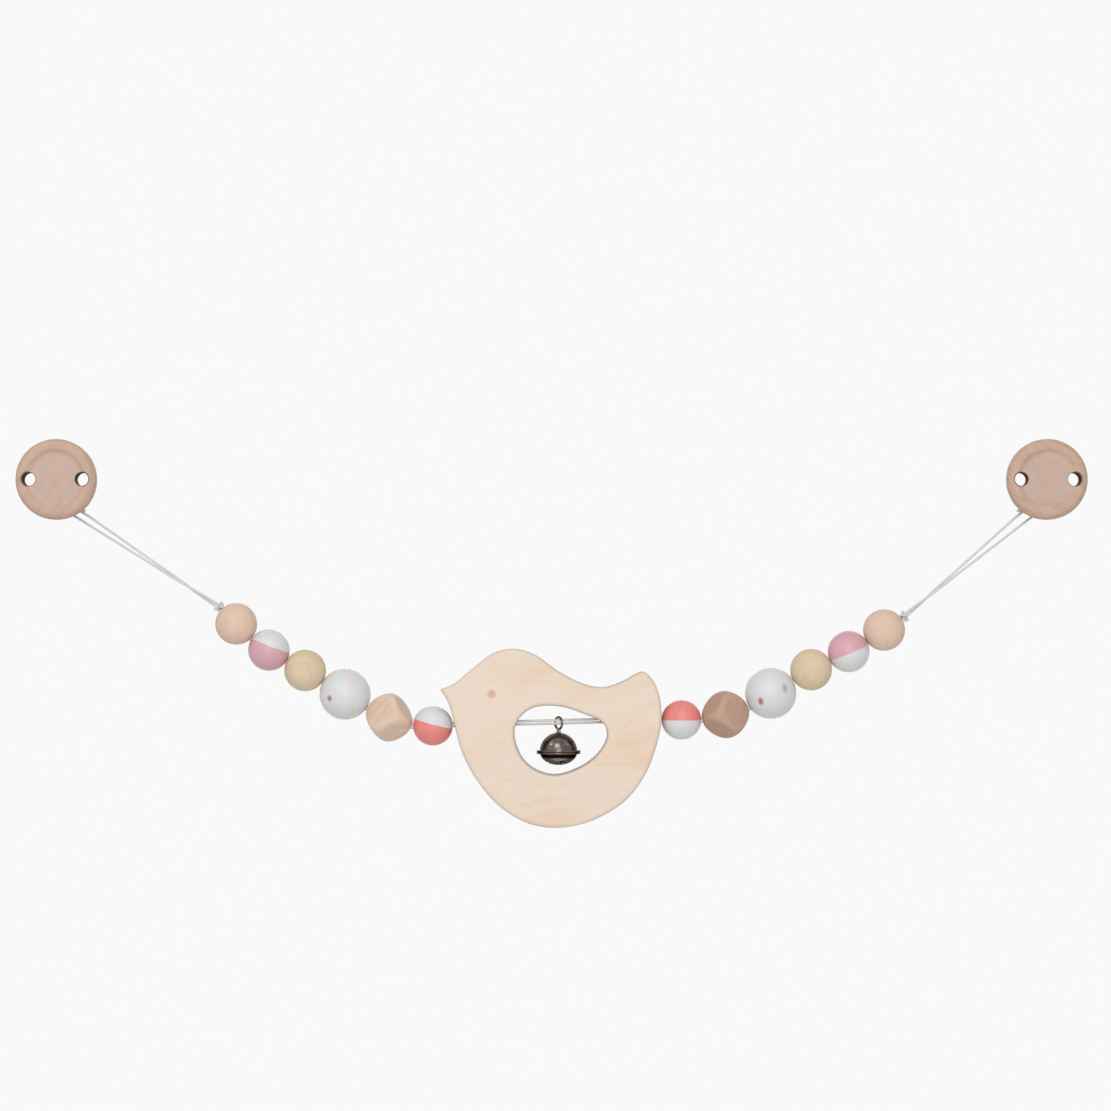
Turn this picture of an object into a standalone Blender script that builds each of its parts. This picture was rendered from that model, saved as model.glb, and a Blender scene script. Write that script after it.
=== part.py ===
"""Pram chain toy: a wooden bird with a bell, strung between two rows of wooden beads and two clips.

The toy is modelled as it hangs across a pram. X runs along the chain, Z is up and the viewer
stands on the -Y side. The origin lies midway between the clips, on the line through the bars of
both bails, which is the line that the whole string swings about.
"""
import math

import bmesh
import bpy
from mathutils import Vector

MM = 0.001

# Clearances
TOUCH_GAP = 0.3 * MM        # between pieces that rest on or hold each other
CUT_OVERRUN = 1.0 * MM      # how far a cutter runs past the face that it cuts

# Cord, doubled all the way through the beads
CORD_DIAMETER = 1.1 * MM
STRAND_SPACING = 1.4 * MM   # centre to centre of the two strands in a bore
BORE_DIAMETER = 3.3 * MM
BORE_CHAMFER = 0.5 * MM
BORE_STRAIGHT_SHARE = 0.94  # how far from its middle to its mouth the cord runs straight
KNOT_TRAVEL = 0.64 * MM     # scale of the overhand knot's centre line
KNOT_LOBE_SHARE = 2.0
KNOT_HEIGHT_SHARE = 1.25

# Beads
BALL_DIAMETER = 18.7 * MM
CORAL_BALL_DIAMETER = 17.9 * MM
LARGE_BALL_DIAMETER = 23.0 * MM
CUBE_FLAT_DISTANCE = 17.0 * MM      # rounded cube, drilled from corner to corner
CUBE_ROUND_DIAMETER = 22.4 * MM     # the ball that its corners are rounded to
CUBE_END_DISTANCE = 23.6 * MM       # between the drilled corners, which are turned down a little
CUBE_SHARPNESS = 12
BEAD_GAP = 0.3 * MM
BEAD_SEGMENTS = 18
BEAD_RINGS = 9
CUBE_SEGMENTS = 24
CUBE_RINGS = 12

# Rows from the bird outwards: name, kind, rise of the bore in degrees, turn about the bore
LEFT_ROW = (
    ("left_coral_bead", "coral_ball", -3.0, 0.0),
    ("left_cube_bead", "cube", 22.0, -15.0),
    ("left_dotted_bead", "large_ball", 33.5, 0.0),
    ("left_pale_bead", "ball", 27.0, 0.0),
    ("left_pink_bead", "ball", 32.0, 0.0),
    ("left_beech_bead", "ball", 45.0, 0.0),
)
RIGHT_ROW = (
    ("right_coral_bead", "coral_ball", -2.0, 0.0),
    ("right_cube_bead", "cube", 14.0, 55.0),
    ("right_dotted_bead", "large_ball", 36.0, 0.0),
    ("right_pale_bead", "ball", 23.0, 0.0),
    ("right_pink_bead", "ball", 28.5, 0.0),
    ("right_beech_bead", "ball", 34.0, 0.0),
)

# Bird, cut from a board. Its outline is measured from the point where the bell hangs on the cord
BIRD_LENGTH = 98.5 * MM
BIRD_THICKNESS = 14.0 * MM
BIRD_EDGE_RADIUS = 1.6 * MM
BIRD_EDGE_STEPS = 2
BIRD_OUTLINE_COUNT = 76
BIRD_OPENING_COUNT = 36
BIRD_TILT = math.radians(1.5)
BIRD_LEFT_MOUTH_SHARE = -0.472
BIRD_RIGHT_MOUTH_SHARE = 0.475
BIRD_LEFT_GAP = 0.9 * MM
BIRD_RIGHT_GAP = 0.3 * MM
BIRD_OUTLINE_SHARES = (
    (-0.533, 0.149), (-0.474, 0.173), (-0.384, 0.246), (-0.287, 0.317), (-0.197, 0.333),
    (-0.107, 0.308), (0.007, 0.230), (0.105, 0.179), (0.202, 0.158), (0.292, 0.183),
    (0.357, 0.219), (0.393, 0.229), (0.430, 0.196), (0.462, 0.126), (0.473, 0.011),
    (0.451, -0.103), (0.402, -0.233), (0.309, -0.356), (0.153, -0.449), (-0.001, -0.480),
    (-0.132, -0.460), (-0.262, -0.384), (-0.368, -0.262), (-0.435, -0.135), (-0.470, -0.005),
    (-0.497, 0.089),
)
BIRD_OPENING_SHARES = (
    (-0.197, -0.062), (-0.179, 0.009), (-0.127, 0.066), (-0.058, 0.086), (0.037, 0.075),
    (0.129, 0.040), (0.202, 0.000), (0.227, -0.054), (0.202, -0.121), (0.120, -0.196),
    (-0.022, -0.240), (-0.145, -0.183),
)

# Bell, two pressed shells with a wire eye
BELL_RADIUS = 8.5 * MM
BELL_TOP_HEIGHT = 8.8 * MM
BELL_BOTTOM_HEIGHT = 6.0 * MM
BELL_WALL = 0.6 * MM
BELL_RIM_RADIUS = 10.0 * MM
BELL_RIM_THICKNESS = 0.5 * MM
BELL_DROP = 4.7 * MM            # cord to the top of the shell
BELL_SHIFT = 0.5 * MM           # along the cord from the bird's own reference point
BELL_TURN = math.radians(22.0)
BELL_SLOT_WIDTH = 1.1 * MM
BELL_SLOT_REACH = 5.2 * MM
BELL_SLOT_END_DIAMETER = 2.3 * MM
BELL_EYE_HOLE_RADIUS = 1.5 * MM
BELL_SEGMENTS = 24
EYE_WIRE_DIAMETER = 0.9 * MM
EYE_INNER_RADIUS = 2.3 * MM
EYE_TURN = math.radians(36.0)
EYE_LEG_SPACING = 1.3 * MM
EYE_TAIL = 1.0 * MM
PELLET_DIAMETER = 4.6 * MM

# Clip: the disc
DISC_DIAMETER = 36.0 * MM
DISC_THICKNESS = 8.0 * MM
DISC_RIM_RADIUS = 3.0 * MM
DISC_DISH_RADIUS = 13.0 * MM
DISC_DISH_DEPTH = 1.2 * MM
DISC_DISH_EDGE = 1.8 * MM
VENT_DIAMETER = 6.0 * MM
VENT_OFFSET = 11.85 * MM
DISC_SEGMENTS = 36

# Clip: the pressed steel plate, its screws, pin, lever and jaw pad
PLATE_THICKNESS = 1.0 * MM
PLATE_WIDTH = 13.6 * MM
PLATE_TOP = 14.0 * MM
EAR_THICKNESS = 1.0 * MM
EAR_INSET = 0.1 * MM
EAR_ROOT_WIDTH = 8.0 * MM
EAR_TIP_RADIUS = 2.6 * MM
SCREW_OFFSET = 3.6 * MM
SCREW_HEIGHT = 1.2 * MM
SCREW_HEAD_RADIUS = 1.9 * MM
SCREW_HEAD_HEIGHT = 0.8 * MM
SCREW_SHANK_RADIUS = 0.9 * MM
SCREW_SHANK_LENGTH = 3.6 * MM
PIN_RADIUS = 1.2 * MM
PIN_HEAD_RADIUS = 2.0 * MM
PIN_HEAD_LENGTH = 0.8 * MM
PIN_HEIGHT = 9.0 * MM
PIN_STANDOFF = 5.0 * MM         # back of the plate to the pin's centre
PIN_CLEARANCE = 0.2 * MM
LEVER_THICKNESS = 0.9 * MM
LEVER_ARM_LENGTH = 13.0 * MM
LEVER_TAB_LENGTH = 3.0 * MM
LEVER_TAB_KICK = 1.6 * MM
CHEEK_THICKNESS = 0.8 * MM
CHEEK_RADIUS = 3.0 * MM
PAD_TOOTH_HEIGHT = 0.6 * MM
PAD_TEETH = 5
PAD_START = math.radians(-52.0)     # measured from straight ahead, up positive
PAD_END = math.radians(14.0)

# Clip: the wire bail and the hitch on it
BAIL_WIRE_DIAMETER = 2.6 * MM
BAIL_HALF_WIDTH = 13.4 * MM
BAIL_CORNER_RADIUS = 2.2 * MM
BAIL_TOP_HEIGHT = -5.2 * MM
BAR_HEIGHT = -11.0 * MM
BAR_STANDOFF = 4.0 * MM         # back of the disc to both of the bail's bars
HITCH_CLEARANCE = 0.35 * MM
HITCH_OFFSET = 2.4 * MM         # hitch from the clip's middle, towards the bird
LEFT_HITCH_SPREAD = 3.6 * MM    # from the hitch's middle to each standing strand
RIGHT_HITCH_SPREAD = 4.0 * MM

# Free strands between the knots and the hitches
LEFT_STRAND_LENGTH = 83.1 * MM
RIGHT_STRAND_LENGTH = 78.5 * MM
LEFT_STRAND_RISE = math.radians(33.5)
STRAND_JOINED_LENGTH = 24.0 * MM

# Colour, roughness, metallic
FINISHES = {
    "beech": ((0.62, 0.42, 0.28), 0.55, 0.0),
    "pale_wood": ((0.72, 0.52, 0.31), 0.55, 0.0),
    "maple": ((0.80, 0.66, 0.51), 0.50, 0.0),
    "white_paint": ((0.72, 0.74, 0.77), 0.40, 0.0),
    "pink_paint": ((0.72, 0.38, 0.45), 0.40, 0.0),
    "coral_paint": ((0.79, 0.22, 0.20), 0.40, 0.0),
    "dark_bell": ((0.10, 0.09, 0.08), 0.18, 1.0),
    "steel": ((0.62, 0.62, 0.63), 0.28, 1.0),
    "jaw_plastic": ((0.82, 0.82, 0.80), 0.45, 0.0),
    "cord": ((0.85, 0.85, 0.84), 0.70, 0.0),
}


def clear_scene():
    for old in list(bpy.data.objects):
        bpy.data.objects.remove(old, do_unlink=True)


def finish(obj, finish_name):
    """Give the object a material of its own."""
    colour, roughness, metallic = FINISHES[finish_name]
    material = bpy.data.materials.new(obj.name)
    material.use_nodes = True
    shader = material.node_tree.nodes["Principled BSDF"]
    shader.inputs["Base Color"].default_value = (*colour, 1.0)
    shader.inputs["Roughness"].default_value = roughness
    shader.inputs["Metallic"].default_value = metallic
    obj.data.materials.append(material)


def link(obj, parent=None):
    bpy.context.scene.collection.objects.link(obj)
    obj.parent = parent
    return obj


def mesh_object(name, bm, parent=None, location=(0, 0, 0)):
    """Turn a bmesh into a smooth-shaded object with its faces pointing out."""
    bmesh.ops.recalc_face_normals(bm, faces=bm.faces)
    mesh = bpy.data.meshes.new(name)
    bm.to_mesh(mesh)
    bm.free()
    mesh.shade_smooth()
    mesh.set_sharp_from_angle(angle=math.radians(35.0))
    obj = link(bpy.data.objects.new(name, mesh), parent)
    obj.location = location
    return obj


def helper(obj):
    """Mark a cutter or an added piece, which is not part of the toy by itself."""
    obj.hide_render = True
    obj.display_type = "WIRE"
    return obj


def combine(target, other, operation):
    modifier = target.modifiers.new(other.name, "BOOLEAN")
    modifier.operation = operation
    modifier.solver = "EXACT"
    modifier.object = helper(other)


def lathe(profile, segments, closed):
    """Turn a profile of (along, radius) pairs about X. A closed profile makes a ring with a bore."""
    bm = bmesh.new()
    rings = []
    for along, radius in profile:
        if radius == 0:
            rings.append([bm.verts.new((along, 0, 0))])
            continue
        ring = []
        for step in range(segments):
            angle = math.tau * (step + 0.5) / segments
            ring.append(bm.verts.new((along, radius * math.cos(angle), radius * math.sin(angle))))
        rings.append(ring)
    pairs = list(zip(rings, rings[1:]))
    if closed:
        pairs.append((rings[-1], rings[0]))
    for ring, following in pairs:
        for step in range(segments):
            nxt = (step + 1) % segments
            if len(ring) == 1:
                bm.faces.new((ring[0], following[step], following[nxt]))
            elif len(following) == 1:
                bm.faces.new((ring[step], following[0], ring[nxt]))
            else:
                bm.faces.new((ring[step], following[step], following[nxt], ring[nxt]))
    return bm


def turn_to_back(bm):
    """Turn a lathed shape so that its axis runs from the front to the back, along +Y."""
    for vert in bm.verts:
        along, across, up = vert.co
        vert.co = (-across, along, up)


def turn_to_down(bm):
    """Turn a lathed shape so that its axis runs down, along -Z."""
    for vert in bm.verts:
        along, across, up = vert.co
        vert.co = (up, across, -along)


def rod(name, radius, start, end, segments, parent=None):
    """A plain round bar between two points, used for cutters."""
    start = Vector(start)
    end = Vector(end)
    length = (end - start).length
    bm = lathe(((0, 0), (0, radius), (length, radius), (length, 0)), segments, False)
    obj = mesh_object(name, bm, parent, start)
    obj.rotation_euler = (end - start).to_track_quat("X", "Z").to_euler()
    return obj


def prism(name, outline, low, high, parent=None):
    """Extrude an outline of (y, z) points along X from low to high."""
    bm = bmesh.new()
    near = [bm.verts.new((low, y, z)) for y, z in outline]
    far = [bm.verts.new((high, y, z)) for y, z in outline]
    bm.faces.new(near)
    bm.faces.new(far)
    for step in range(len(outline)):
        nxt = (step + 1) % len(outline)
        bm.faces.new((near[step], near[nxt], far[nxt], far[step]))
    return mesh_object(name, bm, parent)


def arc(centre, radius, start, end, steps):
    """Points on an arc in the y-z plane. Angle 0 points to the front, and up is positive."""
    points = []
    for step in range(steps + 1):
        angle = start + (end - start) * step / steps
        points.append((centre[0] - radius * math.cos(angle), centre[1] + radius * math.sin(angle)))
    return points


def side_normals(points):
    """Left-hand normals of an open run of 2-D points, averaged at each point."""
    normals = []
    for index in range(len(points)):
        before = Vector(points[max(index - 1, 0)])
        after = Vector(points[min(index + 1, len(points) - 1)])
        along = (after - before).normalized()
        normals.append(Vector((-along.y, along.x)))
    return normals


def sheet_outline(centre_line, thickness):
    """The outline of a bent strip of sheet metal from its centre line."""
    half = thickness / 2
    normals = side_normals(centre_line)
    left = [Vector(p) + n * half for p, n in zip(centre_line, normals)]
    right = [Vector(p) - n * half for p, n in zip(centre_line, normals)]
    return [tuple(p) for p in left + right[::-1]]


def curve_between(before, start, end, after, share):
    """A point on the centripetal Catmull-Rom curve from start to end."""
    points = (before, start, end, after)
    knots = [0.0]
    for first, second in zip(points, points[1:]):
        knots.append(knots[-1] + math.sqrt((second - first).length))
    t = knots[1] + (knots[2] - knots[1]) * share

    def mix(p, q, low, high):
        return p * ((high - t) / (high - low)) + q * ((t - low) / (high - low))

    a = [mix(points[i], points[i + 1], knots[i], knots[i + 1]) for i in range(3)]
    b = [mix(a[i], a[i + 1], knots[i], knots[i + 2]) for i in range(2)]
    return mix(b[0], b[1], knots[1], knots[2])


def smooth_open(points, steps):
    """A smooth curve through an open run of points, which it starts and ends on."""
    points = [Vector(p) for p in points]
    points = [points[0] * 2 - points[1]] + points + [points[-1] * 2 - points[-2]]
    curve = []
    for index in range(1, len(points) - 2):
        for step in range(steps):
            curve.append(curve_between(*points[index - 1:index + 3], step / steps))
    curve.append(points[-2])
    return curve


def smooth_closed(points, steps):
    points = [Vector(p) for p in points]
    count = len(points)
    curve = []
    for index in range(count):
        four = [points[(index + shift) % count] for shift in (-1, 0, 1, 2)]
        for step in range(steps):
            curve.append(curve_between(*four, step / steps))
    return curve


def spread_evenly(loop, count):
    """Points at equal steps along a closed loop, keeping its first point."""
    lengths = [0.0]
    closed = loop + [loop[0]]
    for first, second in zip(closed, closed[1:]):
        lengths.append(lengths[-1] + (second - first).length)
    even = []
    index = 0
    for step in range(count):
        wanted = lengths[-1] * step / count
        while lengths[index + 1] < wanted:
            index += 1
        share = (wanted - lengths[index]) / (lengths[index + 1] - lengths[index])
        even.append(closed[index].lerp(closed[index + 1], share))
    return even


def shifted_loop(loop, distance):
    """Move a closed clockwise loop to its right-hand side, mitred at its corners."""
    count = len(loop)
    moved = []
    for index, point in enumerate(loop):
        into = (point - loop[index - 1]).normalized()
        out = (loop[(index + 1) % count] - point).normalized()
        first = Vector((into.y, -into.x))
        second = Vector((out.y, -out.x))
        middle = (first + second).normalized()
        moved.append(point + middle * (distance / max(middle.dot(first), 0.5)))
    return moved


# Chain layout

def cube_reach(direction, turn):
    """Distance from the middle of a rounded cube to its surface. X is the drilled diagonal."""
    total = (2 / CUBE_ROUND_DIAMETER) ** CUBE_SHARPNESS
    total += abs(direction.x * 2 / CUBE_END_DISTANCE) ** CUBE_SHARPNESS
    for third in range(3):
        angle = turn + math.tau * third / 3
        across = math.sqrt(2 / 3)
        normal = Vector((math.sqrt(1 / 3), across * math.cos(angle), across * math.sin(angle)))
        total += abs(direction.dot(normal) * 2 / CUBE_FLAT_DISTANCE) ** CUBE_SHARPNESS
    return total ** (-1 / CUBE_SHARPNESS)


BALL_RADII = {
    "ball": BALL_DIAMETER / 2,
    "coral_ball": CORAL_BALL_DIAMETER / 2,
    "large_ball": LARGE_BALL_DIAMETER / 2,
    "cube": cube_reach(Vector((1, 0, 0)), 0),
}


def mouth_angle(reach):
    """Half the angle that a bore's chamfered mouth takes from a bead of this half length."""
    return math.asin((BORE_DIAMETER / 2 + BORE_CHAMFER) / reach)


def touch_reach(reach, lean):
    """From a bead's middle to a neighbour's face, for a bore that leans by this angle."""
    return reach * math.cos(max(mouth_angle(reach) - lean, 0))


def string_row(side, mouth, first_gap, row):
    """Place a row of beads outwards from the bird. Side is -1 on the left and 1 on the right."""
    places = []
    for name, kind, rise_degrees, turn_degrees in row:
        rise = math.radians(rise_degrees)
        out = Vector((side * math.cos(rise), 0, math.sin(rise)))
        reach = BALL_RADII[kind]
        if not places:
            centre = mouth + out * (first_gap + touch_reach(reach, 0))
        else:
            last = places[-1]
            towards = (last["out"] * last["reach"] + out * reach).normalized()
            spacing = touch_reach(last["reach"], last["out"].angle(towards))
            spacing += BEAD_GAP + touch_reach(reach, out.angle(towards))
            centre = last["centre"] + towards * spacing
        places.append({
            "name": name,
            "kind": kind,
            "reach": reach,
            "centre": centre,
            "out": out,
            "mouth": centre + out * touch_reach(reach, 0),
            "slope": side * rise,
            "turn": math.radians(turn_degrees),
        })
    return places


KNOT_REACH = KNOT_TRAVEL * KNOT_HEIGHT_SHARE + CORD_DIAMETER / 2


def hang_side(side, mouth, gap, row, length, rise, bar_z, spread):
    """Everything on one side of the bird. With no rise given, the strands reach up to bar_z."""
    beads = string_row(side, mouth, gap, row)
    last = beads[-1]
    knot = last["mouth"] + last["out"] * (TOUCH_GAP + KNOT_REACH)
    if rise is None:
        rise = math.asin((bar_z - knot.z) / length)
    up = Vector((side * math.cos(rise), 0, math.sin(rise)))
    bar_point = knot + up * length
    hitch_x = bar_point.x
    return {
        "side": side,
        "beads": beads,
        "knot": knot,
        "up": up,
        "bar_z": bar_point.z,
        "hitch_x": hitch_x,
        "spread": spread,
        "clip_x": hitch_x + side * HITCH_OFFSET,
    }


def hang_chain(bell_point):
    """Lay the whole string out from the point where the bell hangs on the cord."""
    line = Vector((math.cos(BIRD_TILT), 0, math.sin(BIRD_TILT)))
    reach = BIRD_LENGTH / line.x
    left_mouth = bell_point + line * (BIRD_LEFT_MOUTH_SHARE * reach)
    right_mouth = bell_point + line * (BIRD_RIGHT_MOUTH_SHARE * reach)
    left = hang_side(-1, left_mouth, BIRD_LEFT_GAP, LEFT_ROW, LEFT_STRAND_LENGTH,
                     LEFT_STRAND_RISE, 0, LEFT_HITCH_SPREAD)
    right = hang_side(1, right_mouth, BIRD_RIGHT_GAP, RIGHT_ROW, RIGHT_STRAND_LENGTH,
                      None, left["bar_z"], RIGHT_HITCH_SPREAD)
    return {"bell_point": bell_point, "line": line, "left": left, "right": right,
            "left_mouth": left_mouth, "right_mouth": right_mouth}


def plan_chain():
    trial = hang_chain(Vector((0, 0, 0)))
    middle = (trial["left"]["clip_x"] + trial["right"]["clip_x"]) / 2
    return hang_chain(Vector((-middle, 0, -trial["left"]["bar_z"])))


# Beads

def build_bead(place):
    """A drilled bead. Its own X runs along the bore, and its origin is at its middle."""
    bore = BORE_DIAMETER / 2
    mouth = bore + BORE_CHAMFER
    reach = place["reach"]
    first = mouth_angle(reach)
    cubic = place["kind"] == "cube"
    rings = CUBE_RINGS if cubic else BEAD_RINGS
    profile = []
    for ring in range(rings + 1):
        angle = first + (math.pi - 2 * first) * ring / rings
        profile.append((-reach * math.cos(angle), reach * math.sin(angle)))
    bore_end = reach * math.cos(first) - BORE_CHAMFER
    segments = CUBE_SEGMENTS if cubic else BEAD_SEGMENTS
    bm = lathe(profile + [(bore_end, bore), (-bore_end, bore)], segments, True)
    if cubic:
        for vert in bm.verts:
            if vert.co.yz.length > (bore + mouth) / 2:
                direction = vert.co.normalized()
                vert.co = direction * cube_reach(direction, place["turn"])
    obj = mesh_object(place["name"], bm, None, place["centre"])
    obj.rotation_euler = (0, -place["slope"], 0)
    return obj


BEAD_FINISHES = {
    "coral": "coral_paint",
    "cube": "beech",
    "dotted": "white_paint",
    "pale": "pale_wood",
    "pink": "pink_paint",
    "beech": "beech",
}


def build_beads(plan):
    for side in ("left", "right"):
        for place in plan[side]["beads"]:
            finish(build_bead(place), BEAD_FINISHES[place["name"].split("_")[1]])


# Bird

def bird_loops():
    """The outer outline, which has one sharp corner at the beak, and the egg-shaped opening."""
    outer = [Vector(share) * BIRD_LENGTH for share in BIRD_OUTLINE_SHARES]
    outer = smooth_open(outer + [outer[0]], 6)[:-1]
    opening = [Vector(share) * BIRD_LENGTH for share in BIRD_OPENING_SHARES]
    opening = smooth_closed(opening, 6)
    return spread_evenly(outer, BIRD_OUTLINE_COUNT), spread_evenly(opening, BIRD_OPENING_COUNT)


def edge_levels():
    """Depth and inset of each ring over the rounded edges, from the front face to the back."""
    half = BIRD_THICKNESS / 2
    levels = []
    for step in range(BIRD_EDGE_STEPS + 1):
        angle = math.pi / 2 * step / BIRD_EDGE_STEPS
        inset = BIRD_EDGE_RADIUS * (1 - math.sin(angle))
        levels.append((-half + BIRD_EDGE_RADIUS * (1 - math.cos(angle)), inset))
    return levels + [(-depth, inset) for depth, inset in levels[::-1]]


def add_wall(bm, loop, direction):
    """Skin one loop over the edge levels, and return its front and back edges."""
    rings = []
    for depth, inset in edge_levels():
        ring = shifted_loop(loop, direction * inset)
        rings.append([bm.verts.new((point.x, depth, point.y)) for point in ring])
    count = len(loop)
    for ring, following in zip(rings, rings[1:]):
        for step in range(count):
            nxt = (step + 1) % count
            bm.faces.new((ring[step], ring[nxt], following[nxt], following[step]))
    ends = []
    for ring in (rings[0], rings[-1]):
        ends.append([bm.edges.get((ring[step], ring[(step + 1) % count])) for step in range(count)])
    return ends


def build_bird(plan):
    outer, opening = bird_loops()
    bm = bmesh.new()
    outer_front, outer_back = add_wall(bm, outer, 1)
    inner_front, inner_back = add_wall(bm, opening, -1)
    for edges in (outer_front + inner_front, outer_back + inner_back):
        bmesh.ops.triangle_fill(bm, edges=edges, use_beauty=True)
    bird = mesh_object("bird", bm, None, plan["bell_point"])
    finish(bird, "maple")
    line = plan["line"] * BIRD_LENGTH
    bore = rod("bird_bore_cutter", BORE_DIAMETER / 2, plan["bell_point"] - line,
               plan["bell_point"] + line, BEAD_SEGMENTS)
    combine(bird, bore, "DIFFERENCE")


# Bell

def bell_curve(height, radius, steps):
    """Quarter of an ellipse from the pole to the equator, as (height, radius) pairs."""
    points = []
    for step in range(steps + 1):
        angle = math.pi / 2 * step / steps
        points.append((height * math.cos(angle), radius * math.sin(angle)))
    return points


def build_shell(name, height, hole_radius, bell):
    """A pressed half shell with a rim. It is turned with its pole along +X first."""
    steps = 6
    half_gap = TOUCH_GAP / 2
    outer = bell_curve(height, BELL_RADIUS, steps)
    inner = bell_curve(height - BELL_WALL, BELL_RADIUS - BELL_WALL, steps)
    if hole_radius > 0:
        outer[0] = (height, hole_radius)
        inner[0] = (height - BELL_WALL, hole_radius)
    rim_top = half_gap + BELL_RIM_THICKNESS
    outer[-1] = (rim_top, BELL_RADIUS)
    inner[-1] = (half_gap, BELL_RADIUS - BELL_WALL)
    rim = [(rim_top, BELL_RIM_RADIUS), (half_gap, BELL_RIM_RADIUS)]
    profile = outer + rim + inner[::-1]
    bm = lathe(profile, BELL_SEGMENTS, hole_radius > 0)
    turn_to_down(bm)
    return mesh_object(name, bm, bell)


def build_bell(plan):
    """The bell hangs on the cord. Its frame sits on the cord with Z up."""
    bell = link(bpy.data.objects.new("bell_frame", None))
    bell.location = plan["bell_point"] + plan["line"] * BELL_SHIFT
    seam = -(BELL_DROP + BELL_TOP_HEIGHT)

    upper = build_shell("bell_upper_shell", BELL_TOP_HEIGHT, BELL_EYE_HOLE_RADIUS, bell)
    upper.location = (0, 0, seam)
    upper.rotation_euler = (math.pi, 0, 0)
    finish(upper, "dark_bell")

    lower = build_shell("bell_lower_shell", BELL_BOTTOM_HEIGHT, 0, bell)
    lower.location = (0, 0, seam)
    lower.rotation_euler = (0, 0, BELL_TURN)
    finish(lower, "dark_bell")
    cut_slots(lower)

    pellet_bottom = seam - BELL_BOTTOM_HEIGHT + BELL_WALL + TOUCH_GAP
    radius = PELLET_DIAMETER / 2
    steps = 6
    profile = []
    for step in range(steps + 1):
        angle = math.pi * step / steps
        profile.append((-radius * math.cos(angle), radius * math.sin(angle)))
    profile[0] = (-radius, 0)
    profile[-1] = (radius, 0)
    pellet = mesh_object("bell_pellet", lathe(profile, 12, False), bell)
    pellet.location = (0, 0, pellet_bottom + radius)
    finish(pellet, "steel")
    build_eye(bell)


def cut_slots(shell):
    """Two crossing slots with round ends in the bottom of the lower shell."""
    deep = -(BELL_BOTTOM_HEIGHT + CUT_OVERRUN)
    high = -BELL_BOTTOM_HEIGHT / 2
    for turn in (0, math.pi / 2):
        half = BELL_SLOT_WIDTH / 2
        outline = ((-half, deep), (half, deep), (half, high), (-half, high))
        name = "bell_slot_cutter_%d" % round(math.degrees(turn))
        slot = prism(name, outline, -BELL_SLOT_REACH, BELL_SLOT_REACH, shell)
        slot.rotation_euler = (0, 0, turn)
        combine(shell, slot, "DIFFERENCE")
        for side in (-1, 1):
            x = side * BELL_SLOT_REACH * math.cos(turn)
            y = side * BELL_SLOT_REACH * math.sin(turn)
            end = rod("%s_end_%d" % (name, side), BELL_SLOT_END_DIAMETER / 2, (x, y, deep),
                      (x, y, high), 10, shell)
            combine(shell, end, "DIFFERENCE")


def build_eye(bell):
    """A wire ring round the cord, with two legs through the shell that spread inside it."""
    wire = EYE_WIRE_DIAMETER / 2
    ring = EYE_INNER_RADIUS + wire
    strand_top = (STRAND_SPACING + CORD_DIAMETER) / 2
    centre_z = strand_top + TOUCH_GAP - EYE_INNER_RADIUS
    half_leg = EYE_LEG_SPACING / 2
    neck = math.asin(half_leg / ring)
    points = []
    steps = 16
    for step in range(steps + 1):
        angle = neck + (math.tau - 2 * neck) * step / steps
        points.append(Vector((ring * math.sin(angle), centre_z - ring * math.cos(angle))))
    inside = -(BELL_DROP + BELL_WALL + TOUCH_GAP + wire)
    legs = [Vector((half_leg, -BELL_DROP)), Vector((half_leg, inside)),
            Vector((half_leg + EYE_TAIL, inside - wire))]
    run = legs[::-1] + points + [Vector((-leg.x, leg.y)) for leg in legs]
    across = Vector((-math.sin(EYE_TURN), math.cos(EYE_TURN), 0))
    route = [across * p.x + Vector((0, 0, p.y)) for p in run]
    eye = tube("bell_eye", route, EYE_WIRE_DIAMETER, bell)
    finish(eye, "steel")


def tube(name, run, diameter, parent=None, cyclic=False):
    """A round tube along a run of points."""
    curve = bpy.data.curves.new(name, "CURVE")
    curve.dimensions = "3D"
    curve.bevel_depth = diameter / 2
    curve.bevel_resolution = 2
    curve.use_fill_caps = True
    spline = curve.splines.new("POLY")
    spline.points.add(len(run) - 1)
    for point, place in zip(spline.points, run):
        point.co = (*place, 1)
    spline.use_cyclic_u = cyclic
    return link(bpy.data.objects.new(name, curve), parent)


# Clips. In a clip's frame X is across, Y is to the back and Z is up, from the middle of the
# disc's back face

PLATE_BACK = TOUCH_GAP + PLATE_THICKNESS
PIN_PLACE = (PLATE_BACK + PIN_STANDOFF, PIN_HEIGHT)
ROLL_RADIUS = BAIL_WIRE_DIAMETER / 2 + TOUCH_GAP + PLATE_THICKNESS / 2
BAIL_TOP_PLACE = (BAR_STANDOFF, BAIL_TOP_HEIGHT)
PIN_HOLE_RADIUS = PIN_RADIUS + PIN_CLEARANCE
LEVER_INNER_RADIUS = PIN_RADIUS + TOUCH_GAP
LEVER_HALF_WIDTH = PLATE_WIDTH / 2 - EAR_INSET - EAR_THICKNESS - TOUCH_GAP


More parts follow.
